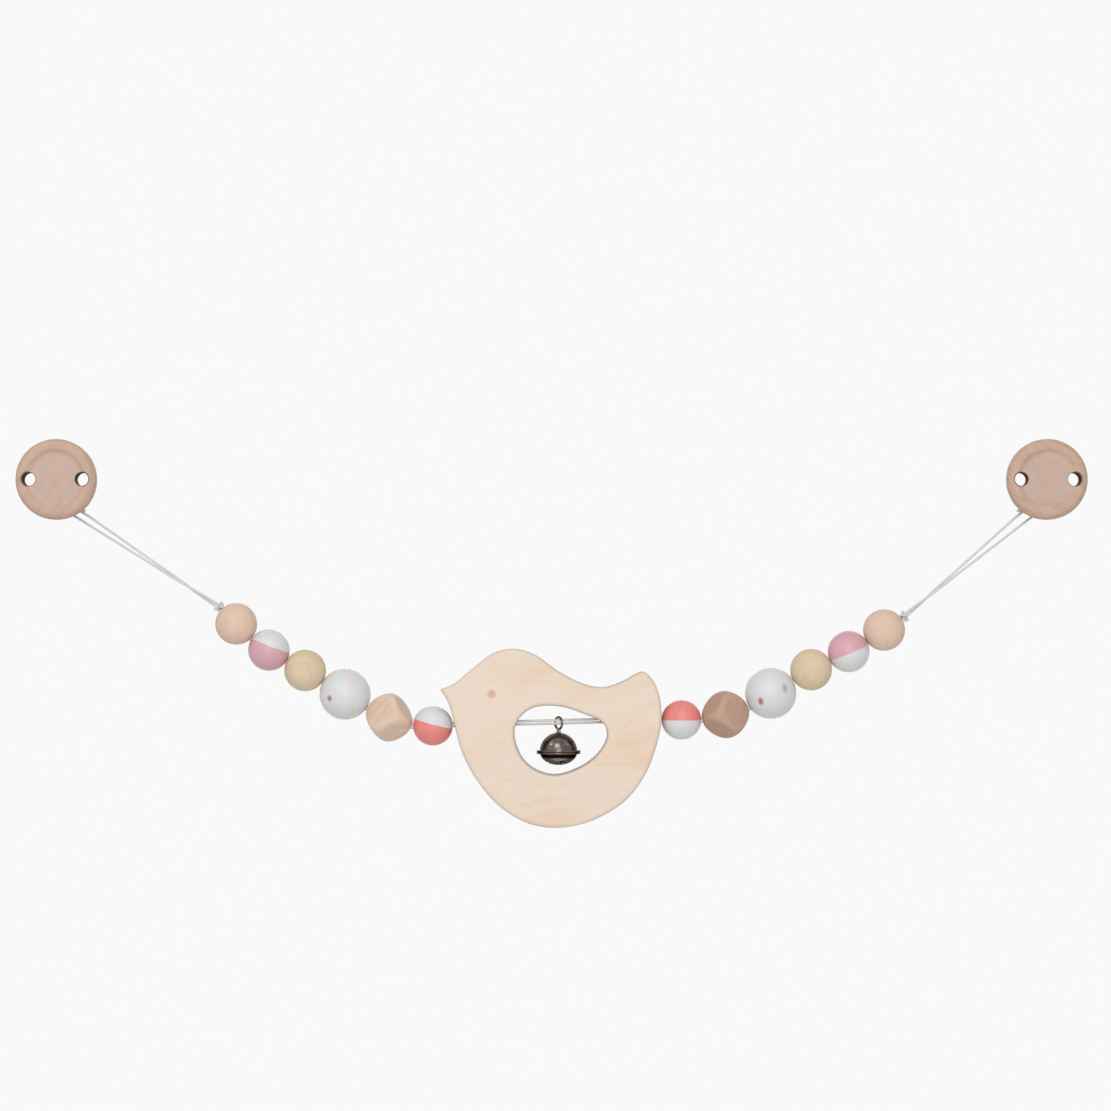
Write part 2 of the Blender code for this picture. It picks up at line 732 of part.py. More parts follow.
def disc_profile():
    """From the middle of the dished front, over the rim, to the middle of the back."""
    radius = DISC_DIAMETER / 2
    front = -DISC_THICKNESS
    rim_outer = radius - DISC_RIM_RADIUS
    dish_inner = DISC_DISH_RADIUS - DISC_DISH_EDGE
    profile = [(front + DISC_DISH_DEPTH, 0), (front + DISC_DISH_DEPTH, dish_inner),
               (front + DISC_DISH_DEPTH / 2, (dish_inner + DISC_DISH_RADIUS) / 2),
               (front, DISC_DISH_RADIUS + (rim_outer - DISC_DISH_RADIUS) / 2)]
    for step in range(1, 5):
        angle = math.pi / 2 * step / 4
        profile.append((front + DISC_RIM_RADIUS * (1 - math.cos(angle)),
                        rim_outer + DISC_RIM_RADIUS * math.sin(angle)))
    for step in range(1, 4):
        angle = math.pi / 2 * step / 3
        profile.append((-DISC_RIM_RADIUS * (1 - math.sin(angle)),
                        rim_outer + DISC_RIM_RADIUS * math.cos(angle)))
    return profile + [(0, 0)]


def build_disc(name, clip):
    bm = lathe(disc_profile(), DISC_SEGMENTS, False)
    turn_to_back(bm)
    disc = mesh_object(name + "_disc", bm, clip)
    finish(disc, "beech")
    for side in (-1, 1):
        x = side * VENT_OFFSET
        start = (x, -DISC_THICKNESS - CUT_OVERRUN, 0)
        vent = rod("%s_vent_cutter_%d" % (name, side), VENT_DIAMETER / 2, start,
                   (x, CUT_OVERRUN, 0), 20, clip)
        combine(disc, vent, "DIFFERENCE")
        x = side * SCREW_OFFSET
        deep = -(SCREW_SHANK_LENGTH - PLATE_BACK + TOUCH_GAP)
        hole = rod("%s_screw_cutter_%d" % (name, side), SCREW_SHANK_RADIUS + TOUCH_GAP,
                   (x, deep, SCREW_HEIGHT), (x, CUT_OVERRUN, SCREW_HEIGHT), 10, clip)
        combine(disc, hole, "DIFFERENCE")


def build_plate(name, clip):
    """The pressed plate: flat behind the disc, two ears for the pin, and a roll round the bail."""
    middle = TOUCH_GAP + PLATE_THICKNESS / 2
    roll = arc(BAIL_TOP_PLACE, ROLL_RADIUS, -math.radians(10.0), -math.radians(265.0), 11)
    step_top = SCREW_HEIGHT - SCREW_HEAD_RADIUS - TOUCH_GAP
    step_end = (BAIL_TOP_PLACE[0] - ROLL_RADIUS, BAIL_TOP_HEIGHT + BAIL_WIRE_DIAMETER / 2)
    line = [(middle, PLATE_TOP), (middle, PIN_HEIGHT), (middle, step_top), step_end] + roll
    half = PLATE_WIDTH / 2
    plate = prism(name + "_clip_plate", sheet_outline(line, PLATE_THICKNESS), -half, half, clip)
    finish(plate, "steel")
    root = EAR_ROOT_WIDTH / 2
    ear_outline = [(middle, PIN_HEIGHT - root)]
    ear_outline += arc(PIN_PLACE, -EAR_TIP_RADIUS, math.radians(70.0), -math.radians(70.0), 8)
    ear_outline += [(middle, PLATE_TOP - PLATE_THICKNESS)]
    for side in (-1, 1):
        outer = side * (half - EAR_INSET)
        inner = outer - side * EAR_THICKNESS
        ear = prism("%s_ear_%d" % (name, side), ear_outline, min(inner, outer),
                    max(inner, outer), clip)
        combine(plate, ear, "UNION")
    pin_hole = rod(name + "_pin_cutter", PIN_HOLE_RADIUS, (-PLATE_WIDTH, *PIN_PLACE),
                   (PLATE_WIDTH, *PIN_PLACE), 12, clip)
    combine(plate, pin_hole, "DIFFERENCE")
    for side in (-1, 1):
        x = side * SCREW_OFFSET
        hole = rod("%s_plate_hole_cutter_%d" % (name, side), SCREW_SHANK_RADIUS + TOUCH_GAP,
                   (x, -CUT_OVERRUN, SCREW_HEIGHT), (x, PLATE_BACK + CUT_OVERRUN, SCREW_HEIGHT),
                   10, clip)
        combine(plate, hole, "DIFFERENCE")


def build_screws(name, clip):
    """Two round-headed screws from the back."""
    tip = -SCREW_SHANK_LENGTH
    profile = ((tip, 0), (tip + SCREW_SHANK_RADIUS, SCREW_SHANK_RADIUS), (0, SCREW_SHANK_RADIUS),
               (0, SCREW_HEAD_RADIUS), (SCREW_HEAD_HEIGHT / 2, SCREW_HEAD_RADIUS),
               (SCREW_HEAD_HEIGHT, SCREW_HEAD_RADIUS / 2), (SCREW_HEAD_HEIGHT, 0))
    for label, side in (("outer", -1), ("inner", 1)):
        bm = lathe(profile, 10, False)
        turn_to_back(bm)
        x = side * SCREW_OFFSET * (1 if name == "left" else -1)
        place = (x, PLATE_BACK + TOUCH_GAP, SCREW_HEIGHT)
        finish(mesh_object("%s_%s_screw" % (name, label), bm, clip, place), "steel")


def build_pin(name, clip):
    half = PLATE_WIDTH / 2 - EAR_INSET + TOUCH_GAP
    end = half + PIN_HEAD_LENGTH
    profile = ((-end, 0), (-end, PIN_HEAD_RADIUS), (-half, PIN_HEAD_RADIUS), (-half, PIN_RADIUS),
               (half, PIN_RADIUS), (half, PIN_HEAD_RADIUS), (end, PIN_HEAD_RADIUS), (end, 0))
    pin = mesh_object(name + "_hinge_pin", lathe(profile, 12, False), clip, (0, *PIN_PLACE))
    finish(pin, "steel")


def build_lever(name, clip):
    """The lever wraps over the pin and hangs down behind the plate. Its origin is on the pin."""
    middle = LEVER_INNER_RADIUS + LEVER_THICKNESS / 2
    wrap = arc((0, 0), middle, PAD_END + math.radians(22.0), math.pi, 8)
    arm_end = -LEVER_ARM_LENGTH
    line = wrap + [(middle, arm_end / 2), (middle, arm_end),
                   (middle + LEVER_TAB_KICK, arm_end - LEVER_TAB_LENGTH)]
    frame = link(bpy.data.objects.new(name + "_lever_frame", None), clip)
    frame.location = (0, *PIN_PLACE)
    half = LEVER_HALF_WIDTH
    lever = prism(name + "_lever", sheet_outline(line, LEVER_THICKNESS), -half, half, frame)
    finish(lever, "steel")
    cheek = arc((0, 0), CHEEK_RADIUS, math.radians(-60.0), math.radians(150.0), 12)
    cheek += [(middle, 0), (middle, -LEVER_ARM_LENGTH / 2)]
    for side in (-1, 1):
        outer = side * (half - EAR_INSET)
        inner = outer - side * CHEEK_THICKNESS
        plate = prism("%s_cheek_%d" % (name, side), cheek, min(inner, outer),
                      max(inner, outer), frame)
        combine(lever, plate, "UNION")
    hole = rod(name + "_lever_hole_cutter", LEVER_INNER_RADIUS - PIN_CLEARANCE / 2,
               (-PLATE_WIDTH, 0, 0), (PLATE_WIDTH, 0, 0), 12, frame)
    combine(lever, hole, "DIFFERENCE")
    build_pad(name, frame)


def build_pad(name, frame):
    """The toothed plastic pad sits on the pin, in front, between the lever's cheeks."""
    tip = PIN_STANDOFF - TOUCH_GAP
    outline = []
    for tooth in range(PAD_TEETH):
        for share, radius in ((0.15, tip - PAD_TOOTH_HEIGHT), (0.5, tip)):
            angle = PAD_START + (PAD_END - PAD_START) * (tooth + share) / PAD_TEETH
            outline += arc((0, 0), radius, angle, angle, 1)[:1]
    outline += arc((0, 0), LEVER_INNER_RADIUS, PAD_END, PAD_START, 6)
    half = LEVER_HALF_WIDTH - EAR_INSET - CHEEK_THICKNESS - TOUCH_GAP
    finish(prism(name + "_jaw_pad", outline, -half, half, frame), "jaw_plastic")


def build_bail(name, clip):
    """A closed wire ring. Its top bar lies in the plate's roll, and the cord hangs on the lower."""
    top = Vector((0, *BAIL_TOP_PLACE))
    bottom = Vector((0, BAR_STANDOFF, BAR_HEIGHT))
    height = (top - bottom).length
    lift = (top - bottom).normalized()
    corner = min(BAIL_CORNER_RADIUS, height / 2)
    flat = BAIL_HALF_WIDTH - corner
    run = []
    corners = ((flat, height - corner, 90.0), (flat, corner, 0.0),
               (-flat, corner, -90.0), (-flat, height - corner, -180.0))
    for x, rise, start in corners:
        for step in range(5):
            angle = math.radians(start - 90.0 * step / 4)
            run.append(Vector((x + corner * math.cos(angle), 0, 0))
                       + bottom + lift * (rise + corner * math.sin(angle)))
    finish(tube(name + "_bail", run, BAIL_WIRE_DIAMETER, clip, cyclic=True), "steel")


def build_clip(name, x):
    clip = link(bpy.data.objects.new(name + "_clip_frame", None))
    clip.location = (x, -BAR_STANDOFF, -BAR_HEIGHT)
    build_disc(name, clip)
    build_plate(name, clip)
    build_screws(name, clip)
    build_pin(name, clip)
    build_lever(name, clip)
    build_bail(name, clip)


# Cord

HITCH_RADIUS = BAIL_WIRE_DIAMETER / 2 + HITCH_CLEARANCE + CORD_DIAMETER / 2
# Along the bar towards the bird in cord diameters, then back and up in wrap radii
NEAR_WRAP_SHARES = (
    (0.00, 1.00, -0.15), (0.45, 0.72, 0.70), (1.10, 0.00, 1.00), (1.80, -0.72, 0.70),
    (2.60, -1.00, 0.00), (3.40, -0.72, -0.72), (4.00, 0.00, -1.05), (4.20, 0.65, -1.08),
    (4.00, 1.30, -1.12), (3.00, 1.70, -1.14),
)
FAR_WRAP_SHARES = (
    (0.00, 1.00, -0.15), (-0.15, 0.72, 0.70), (-0.35, 0.00, 1.00), (-0.55, -0.72, 0.70),
    (-0.75, -1.00, 0.00), (-0.90, -0.72, -0.72), (-1.00, 0.00, -1.05), (-1.10, 0.65, -1.08),
    (-0.65, 1.30, -1.12), (0.50, 1.68, -1.14),
)
BIGHT_SHARE = (1.80, -1.14)


def hitch_route(half):
    """The cow hitch, from the standing strand nearer the bird to the other one."""
    run = []
    for shares, middle in ((NEAR_WRAP_SHARES, half["spread"]), (FAR_WRAP_SHARES, -half["spread"])):
        wrap = [Vector((middle + side * CORD_DIAMETER, back * HITCH_RADIUS, up * HITCH_RADIUS))
                for side, back, up in shares]
        if run:
            run.append(Vector((0, *BIGHT_SHARE)) * HITCH_RADIUS)
            wrap.reverse()
        run += wrap
    return [Vector((-half["side"] * p.x + half["hitch_x"], p.y, p.z)) for p in run]


def strand_points(half, lift, foot, top):
    """One free strand from beside the knot up to the hitch."""
    across = Vector((-half["side"] * half["up"].z, 0, abs(half["up"].x)))
    start = half["knot"] + half["up"] * foot + across * lift
    joined = start + half["up"] * STRAND_JOINED_LENGTH
    points = [start, start.lerp(joined, 0.5), joined]
    for share in (0.2, 0.4, 0.6, 0.8):
        points.append(joined.lerp(top, share))
    return points


def loop_route(half):
    """From the knot up one strand, round the bar, and down the other strand to the knot."""
    hitch = hitch_route(half)
    foot = KNOT_REACH + CORD_DIAMETER / 2
    lift = STRAND_SPACING / 2
    up = strand_points(half, lift, foot, hitch[0])
    down = strand_points(half, -lift, foot, hitch[-1])
    return smooth_open(up + hitch + down[::-1], 2)


def lifted(point, along, lift):
    """Move a point square to a direction in the X-Z plane, upwards."""
    return point + Vector((-along.z, 0, along.x)).normalized() * math.copysign(lift, lift * along.x)


def threaded_route(plan, lift):
    """One strand of the doubled cord, from the left knot to the right one, straight in each bore."""
    points = []
    for side in (-1, 1):
        half = plan["left"] if side < 0 else plan["right"]
        mouth = plan["left_mouth"] if side < 0 else plan["right_mouth"]
        start = plan["bell_point"].lerp(mouth, BORE_STRAIGHT_SHARE)
        run = [lifted(start, plan["line"] * side, lift)]
        for bead in half["beads"]:
            for share in (-BORE_STRAIGHT_SHARE, BORE_STRAIGHT_SHARE):
                place = bead["centre"] + bead["out"] * (bead["reach"] * share)
                run.append(lifted(place, bead["out"], lift))
        last = half["beads"][-1]
        run.append(lifted(last["mouth"], last["out"], lift))
        points += run[::-1] if side < 0 else run
    return points


def knot_route(half):
    """The centre line of an overhand knot, drawn up tight. Its short axis lies along the bore."""
    along = half["beads"][-1]["out"]
    across = Vector((0, 1, 0))
    up = along.cross(across)
    run = []
    steps = 30
    for step in range(steps):
        t = math.tau * step / steps
        x = math.sin(t) + KNOT_LOBE_SHARE * math.sin(2 * t)
        y = math.cos(t) - KNOT_LOBE_SHARE * math.cos(2 * t)
        z = -KNOT_HEIGHT_SHARE * math.sin(3 * t)
        run.append(half["knot"] + (across * x + up * y + along * z) * KNOT_TRAVEL)
    return run


def build_cord(plan):
    lift = STRAND_SPACING / 2
    for name, shift in (("upper_threaded_cord", lift), ("lower_threaded_cord", -lift)):
        finish(tube(name, threaded_route(plan, shift), CORD_DIAMETER), "cord")
    for side in ("left", "right"):
        half = plan[side]
        finish(tube(side + "_cord_loop", loop_route(half), CORD_DIAMETER), "cord")
        knot = tube(side + "_cord_knot", knot_route(half), CORD_DIAMETER, cyclic=True)
        finish(knot, "cord")


def build_toy():
    clear_scene()
    plan = plan_chain()
    build_beads(plan)
    build_bird(plan)
    build_bell(plan)
    build_clip("left", plan["left"]["clip_x"])
    build_clip("right", plan["right"]["clip_x"])
    build_cord(plan)
    return plan


PLAN = build_toy()
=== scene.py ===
"""Pram chain toy: a wooden bird with a bell, strung between two rows of wooden beads and two clips.

The frame gives every solid of the toy. Each operator makes one group of its pieces at their real
size and with their real finish, and lays them over the solids that they stand for.
"""

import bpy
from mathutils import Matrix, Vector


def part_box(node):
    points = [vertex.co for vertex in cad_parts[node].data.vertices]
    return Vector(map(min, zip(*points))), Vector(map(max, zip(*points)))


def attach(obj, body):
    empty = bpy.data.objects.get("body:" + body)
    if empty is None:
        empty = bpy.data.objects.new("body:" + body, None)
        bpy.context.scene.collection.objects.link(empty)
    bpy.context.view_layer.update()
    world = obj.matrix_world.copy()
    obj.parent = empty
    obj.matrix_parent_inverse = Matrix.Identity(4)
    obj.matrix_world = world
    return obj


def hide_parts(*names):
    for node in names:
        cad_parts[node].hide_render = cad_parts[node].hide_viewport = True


bl_info = {
    "name": "Pram chain toy",
    "version": (1, 0, 0),
    "blender": (4, 5, 0),
    "location": "View3D > Sidebar > Pram chain",
    "description": "Makes the beads, bird, bell, clips and cords of a pram chain toy",
    "category": "Add Mesh",
}

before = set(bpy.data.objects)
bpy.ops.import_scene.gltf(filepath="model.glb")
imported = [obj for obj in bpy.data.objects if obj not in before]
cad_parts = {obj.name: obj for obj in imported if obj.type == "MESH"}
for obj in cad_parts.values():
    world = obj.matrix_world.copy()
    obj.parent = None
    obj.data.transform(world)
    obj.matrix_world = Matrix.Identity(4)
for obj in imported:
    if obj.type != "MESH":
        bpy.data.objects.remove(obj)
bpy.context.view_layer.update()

import math

import bmesh
import bpy
from bpy.props import FloatProperty, FloatVectorProperty, PointerProperty
from mathutils import Matrix, Vector

MM = 0.001
TOUCH_GAP = 0.3 * MM


# Settings

def length(name, description, millimetres):
    return FloatProperty(name=name, description=description, default=millimetres * MM, min=0.0,
                         subtype="DISTANCE", unit="LENGTH", precision=4)


def share(name, description, default):
    return FloatProperty(name=name, description=description, default=default, min=0.0, max=1.0,
                         subtype="FACTOR")


def angle(name, description, degrees):
    return FloatProperty(name=name, description=description, default=math.radians(degrees),
                         subtype="ANGLE", unit="ROTATION")


def linear(values):
    """Screen colours from 0 to 255 as the linear ones that Blender mixes."""
    shares = [value / 255 for value in values]
    return tuple(s / 12.92 if s <= 0.04045 else ((s + 0.055) / 1.055) ** 2.4 for s in shares)


def colour(name, description, screen):
    return FloatVectorProperty(name=name, description=description, default=linear(screen), size=3,
                               min=0.0, max=1.0, subtype="COLOR")


class CordSettings(bpy.types.PropertyGroup):
    """Sizes and colours of the twisted cord."""
    diameter: length("Diameter", "Thickness of the cord", 1.1)
    spacing: length("Strand spacing", "Between the middles of the two strands", 1.4)
    joined: length("Joined spacing", "Between a loop's strands where they lie together", 1.25)
    lay: length("Lay", "Length of one turn of the plies", 3.4)
    groove: share("Groove", "Depth of the grooves between the plies", 0.16)
    tail: length("Tail", "Length of the cut ends at the knots", 2.0)
    fibre: colour("Fibre", "The grey-white fibre", (232, 232, 231))
    # Painted shade: the colour painted into the creases between the plies
    shade: colour("Shade", "The fibre down between the plies", (180, 180, 178))


class BeadSettings(bpy.types.PropertyGroup):
    """Sizes and colours of the beads."""
    ball: length("Ball", "Diameter of the plain and pink balls", 18.7)
    coral_ball: length("Coral ball", "Diameter of the coral balls", 17.9)
    large_ball: length("Large ball", "Diameter of the dotted balls", 23.0)
    cube_flat: length("Cube", "Between opposite sides of the rounded cube", 17.0)
    cube_round: length("Cube round", "The ball that the cube's corners are rounded to", 22.4)
    cube_end: length("Cube end", "Between the drilled corners", 23.6)
    bore: length("Bore", "Diameter of the drilled hole", 3.3)
    mouth: length("Mouth", "Width of the softened edge of the hole", 0.5)
    beech: colour("Beech", "Pinkish turned beech", (234, 204, 183))
    beech_cube: colour("Cube beech", "Beech of the left cube", (229, 201, 180))
    beech_dark: colour("Dark beech", "Beech of the right cube", (196, 161, 140))
    pale: colour("Pale wood", "Yellowish wood of the pale balls", (229, 206, 175))
    white: colour("White", "White paint", (224, 225, 227))
    pink: colour("Pink", "Pink paint", (220, 168, 179))
    coral: colour("Coral", "Coral paint", (238, 135, 129))


class BirdSettings(bpy.types.PropertyGroup):
    """Sizes and colours of the bird."""
    long: length("Length", "From the beak to the tail", 98.5)
    thick: length("Thickness", "Thickness of the board", 14.0)
    edge: length("Edge", "Radius of the sanded edges", 1.6)
    eye_radius: length("Eye", "Radius of the eye", 1.75)
    maple: colour("Maple", "Face of the board", (235, 217, 199))
    streak: colour("Streak", "Warm streaks in the grain", (233, 204, 176))
    line: colour("Line", "Fine growth lines", (224, 191, 156))
    # The browner edge is partly end grain and partly painted shade
    wall: colour("Wall", "Sanded edge of the board", (178, 160, 144))
    eye: colour("Eye colour", "The soft tan eye", (213, 172, 137))


class BellSettings(bpy.types.PropertyGroup):
    """Sizes and colours of the bell."""
    radius: length("Radius", "Radius of the shells", 8.5)
    top: length("Top", "Height of the upper shell", 8.8)
    bottom: length("Bottom", "Depth of the lower shell", 6.0)
    wall: length("Wall", "Thickness of the shells", 0.6)
    rim: length("Rim", "Radius of the rim", 10.0)
    rim_thick: length("Rim thickness", "Thickness of one shell's rim", 0.85)
    turn: angle("Turn", "Turn of the slots", 15.0)
    # Grey painted into the plating as reflections, and as the paler bottom
    nickel: colour("Nickel", "Plating where it is rubbed", (88, 86, 88))
    brown: colour("Brown", "Browned plating", (124, 108, 99))
    # Dark tone for grime, for the darker inside, and for the painted shadow below the rim
    tarnish_and_shade: colour("Tarnish", "Plating in the hollows", (30, 23, 19))
    wire: colour("Wire", "Wire of the eye", (122, 115, 109))


class ClipSettings(bpy.types.PropertyGroup):
    """Sizes and colours of the clips."""
    disc: length("Disc", "Diameter of the disc", 36.0)
    thick: length("Thickness", "Thickness of the disc", 8.0)
    rim: length("Rim", "Radius of the disc's edge", 3.0)
    dish: length("Dish", "Radius of the flat floor of the dish", 11.4)
    crest: length("Crest", "Radius of the crest round the dish", 14.0)
    depth: length("Depth", "Depth of the dish", 1.2)
    vent: length("Vent", "Diameter of the two holes", 6.0)
    vent_offset: length("Vent offset", "From the middle of the disc to a hole", 11.85)
    beech: colour("Beech", "Turned beech of the disc", (208, 177, 157))
    dish_beech: colour("Dish", "Pinker beech in the dish", (209, 183, 171))
    steel: colour("Steel", "Nickelled steel", (196, 195, 193))
    plastic: colour("Pad", "Plastic of the jaw pad", (226, 226, 222))


class StageSettings(bpy.types.PropertyGroup):
    """The floor, the light and the camera."""
    camera_away: length("Camera", "From the chain to the camera", 1100.0)
    view_wide: length("View", "Width of the view where the chain hangs", 499.95)
    camera_drop: length("Camera drop", "How far the camera is below the clips", 57.9)
    middle_drop: length("Middle drop", "Middle of the view below the clips", 22.7)
    middle_right: length("Middle right", "Middle of the view beside the chain's middle", 1.75)
    floor_drop: length("Floor", "How far the floor is below the clips", 430.0)
    paper: colour("Paper", "Floor and background", (249, 249, 249))
    ambient: share("Fill", "Light from all round", 0.47)


SETTINGS = {
    "cord": CordSettings,
    "beads": BeadSettings,
    "bird": BirdSettings,
    "bell": BellSettings,
    "clips": ClipSettings,
    "stage": StageSettings,
}


def settings(group):
    """The sizes and colours of one group of pieces, as the scene has them."""
    return getattr(bpy.context.scene, "pram_chain_" + group)


# Shader sums

class Signal:
    """One socket of a material. Sums written on it add the nodes that work them out."""

    def __init__(self, finish, socket):
        self.finish = finish
        self.socket = socket

    def maths(self, operation, *terms):
        return self.finish.node("ShaderNodeMath", {"operation": operation},
                                dict(enumerate(terms)))

    def __add__(self, other):
        return self.maths("ADD", self, other)

    __radd__ = __add__

    def __sub__(self, other):
        return self.maths("SUBTRACT", self, other)

    def __rsub__(self, other):
        return self.maths("SUBTRACT", other, self)

    def __mul__(self, other):
        return self.maths("MULTIPLY", self, other)

    __rmul__ = __mul__

    def __truediv__(self, other):
        return self.maths("DIVIDE", self, other)

    def __pow__(self, other):
        return self.maths("POWER", self, other)

    def __abs__(self):
        return self.maths("ABSOLUTE", self)

    def fraction(self):
        return self.maths("FRACT", self)


class Nodes:
    """The nodes of a world or a material."""

    def __init__(self, tree):
        self.tree = tree

    def node(self, kind, settings=None, inputs=None, output=0):
        """Add a node: its type, its settings, its sockets' values or links, and which output."""
        node = self.tree.nodes.new(kind)
        for key, value in (settings or {}).items():
            setattr(node, key, value)
        for key, value in (inputs or {}).items():
            if isinstance(value, Signal):
                self.tree.links.new(value.socket, node.inputs[key])
            else:
                node.inputs[key].default_value = value
        return Signal(self, node.outputs[output])


class Finish(Nodes):
    """A material in the making, with its Principled shader."""

    def __init__(self, name, roughness=0.5, metallic=0.0):
        self.material = bpy.data.materials.new(name)
        self.material.use_nodes = True
        super().__init__(self.material.node_tree)
        self.shader = self.tree.nodes["Principled BSDF"]
        self.shader.inputs["Roughness"].default_value = roughness
        self.shader.inputs["Metallic"].default_value = metallic

    def place(self, turn=(0, 0, 0), shift=(0, 0, 0), stretch=(1, 1, 1)):
        """Place on the piece in millimetres, turned, stretched and shifted."""
        coords = self.node("ShaderNodeTexCoord", output="Object")
        scaled = self.node("ShaderNodeMapping", {"vector_type": "POINT"},
                           {"Vector": coords, "Rotation": turn, "Scale": (1 / MM,) * 3})
        return self.node("ShaderNodeMapping", {"vector_type": "POINT"},
                         {"Vector": scaled, "Location": shift, "Scale": stretch})

    def parts(self, vector):
        """The three parts of a vector."""
        split = self.node("ShaderNodeSeparateXYZ", inputs={0: vector})
        outputs = split.socket.node.outputs
        return [Signal(self, outputs[axis]) for axis in range(3)]

    def noise(self, vector, scale, detail=2.0, rough=0.5, distortion=0.0):
        return self.node("ShaderNodeTexNoise", {"noise_dimensions": "3D"},
                         {"Vector": vector, "Scale": scale, "Detail": detail, "Roughness": rough,
                          "Distortion": distortion})

    def grain(self, stretch, detail=2.0, rough=0.5, **lie):
        """Noise drawn out along the grain, which turns and shifts as the lie says."""
        return self.noise(self.place(stretch=stretch, **lie), 1.0, detail, rough)

    def step(self, value, low, high):
        """A soft step from 0 at low to 1 at high. Low may be the larger."""
        if low > high:
            return 1 - self.step(value, high, low)
        return self.node("ShaderNodeMapRange", {"interpolation_type": "SMOOTHSTEP"},
                         {"Value": value, "From Min": low, "From Max": high})

    def blend(self, factor, first, second):
        """The first colour where the factor is 0, and the second where it is 1."""
        inputs = {0: factor}
        for key, value in ((6, first), (7, second)):
            inputs[key] = value if isinstance(value, Signal) else (*value[:3], 1.0)
        return self.node("ShaderNodeMix", {"data_type": "RGBA"}, inputs, 2)

    def vector(self, operation, *terms, output="Vector"):
        """Vector maths. The output says whether a vector or a value comes out."""
        terms = [term if isinstance(term, Signal) else tuple(term) for term in terms]
        return self.node("ShaderNodeVectorMath", {"operation": operation},
                         dict(enumerate(terms)), output)

    def distance(self, vector, point):
        return self.vector("DISTANCE", vector, point, output="Value")

    def length(self, vector):
        return self.vector("LENGTH", vector, output="Value")

    def along(self, vector, direction):
        return self.vector("DOT_PRODUCT", vector, direction, output="Value")

    def feed(self, socket, value):
        self.tree.links.new(value.socket, self.shader.inputs[socket])

    def relief(self, height, depth):
        """Raise the surface by height times depth, in millimetres."""
        bump = self.node("ShaderNodeBump", inputs={"Height": height, "Distance": depth * MM,
                                                   "Strength": 1.0})
        self.feed("Normal", bump)

    def made(self, tint, roughness, height, depth):
        """Feed the colour, the roughness and the relief, and return the material."""
        self.feed("Base Color", tint)
        self.feed("Roughness", roughness)
        self.relief(height, depth)
        return self.material


def mixed(first, second, amount):
    """A colour part of the way from one to another."""
    return tuple(a + (b - a) * amount for a, b in zip(first, second))


def times(tint, amount):
    return tuple(min(c * amount, 1.0) for c in tint)


# Mesh tools

NOTHING = 1e-9
RIGHT = math.pi / 2


def skin(bm, rings, closed=False):
    """Join each ring of points to the next. A ring may be one point, and points may repeat."""
    pairs = list(zip(rings, rings[1:]))
    if closed:
        pairs.append((rings[-1], rings[0]))
    for first, second in pairs:
        count = max(len(first), len(second))
        for step in range(count):
            corners = [ring[at % len(ring)] for ring, at in (
                (first, step), (first, (step + 1) % count), (second, (step + 1) % count),
                (second, step))]
            corners = list(dict.fromkeys(corners))
            if len(corners) > 2:
                bm.faces.new(corners)


def turned(profile, segments, closed=False):
    """Turn a profile of (along, radius) pairs about X. A radius of nothing makes one point."""
    bm = bmesh.new()
    rings = []
    for along, radius in profile:
        on_axis = radius < NOTHING
        ring = []
        for step in range(1 if on_axis else segments):
            turn = math.tau * (step + 0.5) / segments
            reach = 0 if on_axis else radius
            ring.append(bm.verts.new((along, reach * math.cos(turn), reach * math.sin(turn))))
        rings.append(ring)
    skin(bm, rings, closed)
    return bm


def oval(centre, reach, start, end, steps):
    """Points on an oval. Angle 0 lies along the first axis, and a right angle along the second."""
    points = []
    for step in range(steps + 1):
        turn = start + (end - start) * step / steps
        points.append((centre[0] + reach[0] * math.cos(turn),
                       centre[1] + reach[1] * math.sin(turn)))
    return points


def mirrored(profile):
    """The other half of a profile, which ends where this one starts."""
    return [(-along, radius) for along, radius in profile[::-1]]


def moved(bm, matrix):
    bmesh.ops.transform(bm, matrix=matrix, verts=bm.verts)
    return bm


TO_BACK = Matrix.Rotation(RIGHT, 4, "Z")
TO_DOWN = Matrix.Rotation(RIGHT, 4, "Y")
TO_UP = Matrix.Rotation(-RIGHT, 4, "Y")


def prism(outline, low, high):
    """Extrude an outline of (y, z) points along X."""
    bm = bmesh.new()
    rings = [[bm.verts.new((x, y, z)) for y, z in outline] for x in (low, high)]
    for ring in rings:
        bm.faces.new(ring)
    skin(bm, rings)
    return bm


def softened(bm, width, segments=2, limit=60.0):
    """Round the edges that are sharper than the limit in degrees."""
    edges = [edge for edge in bm.edges
             if len(edge.link_faces) == 2 and edge.calc_face_angle(0) > math.radians(limit)]
    bmesh.ops.bevel(bm, geom=edges, offset=width, segments=segments, profile=0.5,
                    affect="EDGES", clamp_overlap=True)
    return bm


def arc(centre, radius, start, end, steps):
    """Points on an arc in the y-z plane. Angle 0 points to the front, and up is positive."""
    return oval(centre, (-radius, radius), start, end, steps)


def sheet_outline(centre_line, thickness):
    """The outline of a bent strip of sheet metal from its centre line."""
    left, right = [], []
    for index, point in enumerate(centre_line):
        before = Vector(centre_line[max(index - 1, 0)])
        after = Vector(centre_line[min(index + 1, len(centre_line) - 1)])
        along = (after - before).normalized()
        side = Vector((-along.y, along.x)) * (thickness / 2)
        left.append(tuple(Vector(point) + side))
        right.append(tuple(Vector(point) - side))
    return left + right[::-1]


def curve_between(before, start, end, after, part):
    """A point on the centripetal Catmull-Rom curve from start to end."""
    points = (before, start, end, after)
    knots = [0.0]
    for first, second in zip(points, points[1:]):
        knots.append(knots[-1] + math.sqrt((second - first).length))
    t = knots[1] + (knots[2] - knots[1]) * part

    def mix(p, q, low, high):
        return p * ((high - t) / (high - low)) + q * ((t - low) / (high - low))

    a = [mix(points[i], points[i + 1], knots[i], knots[i + 1]) for i in range(3)]
    b = [mix(a[i], a[i + 1], knots[i], knots[i + 2]) for i in range(2)]
    return mix(b[0], b[1], knots[1], knots[2])


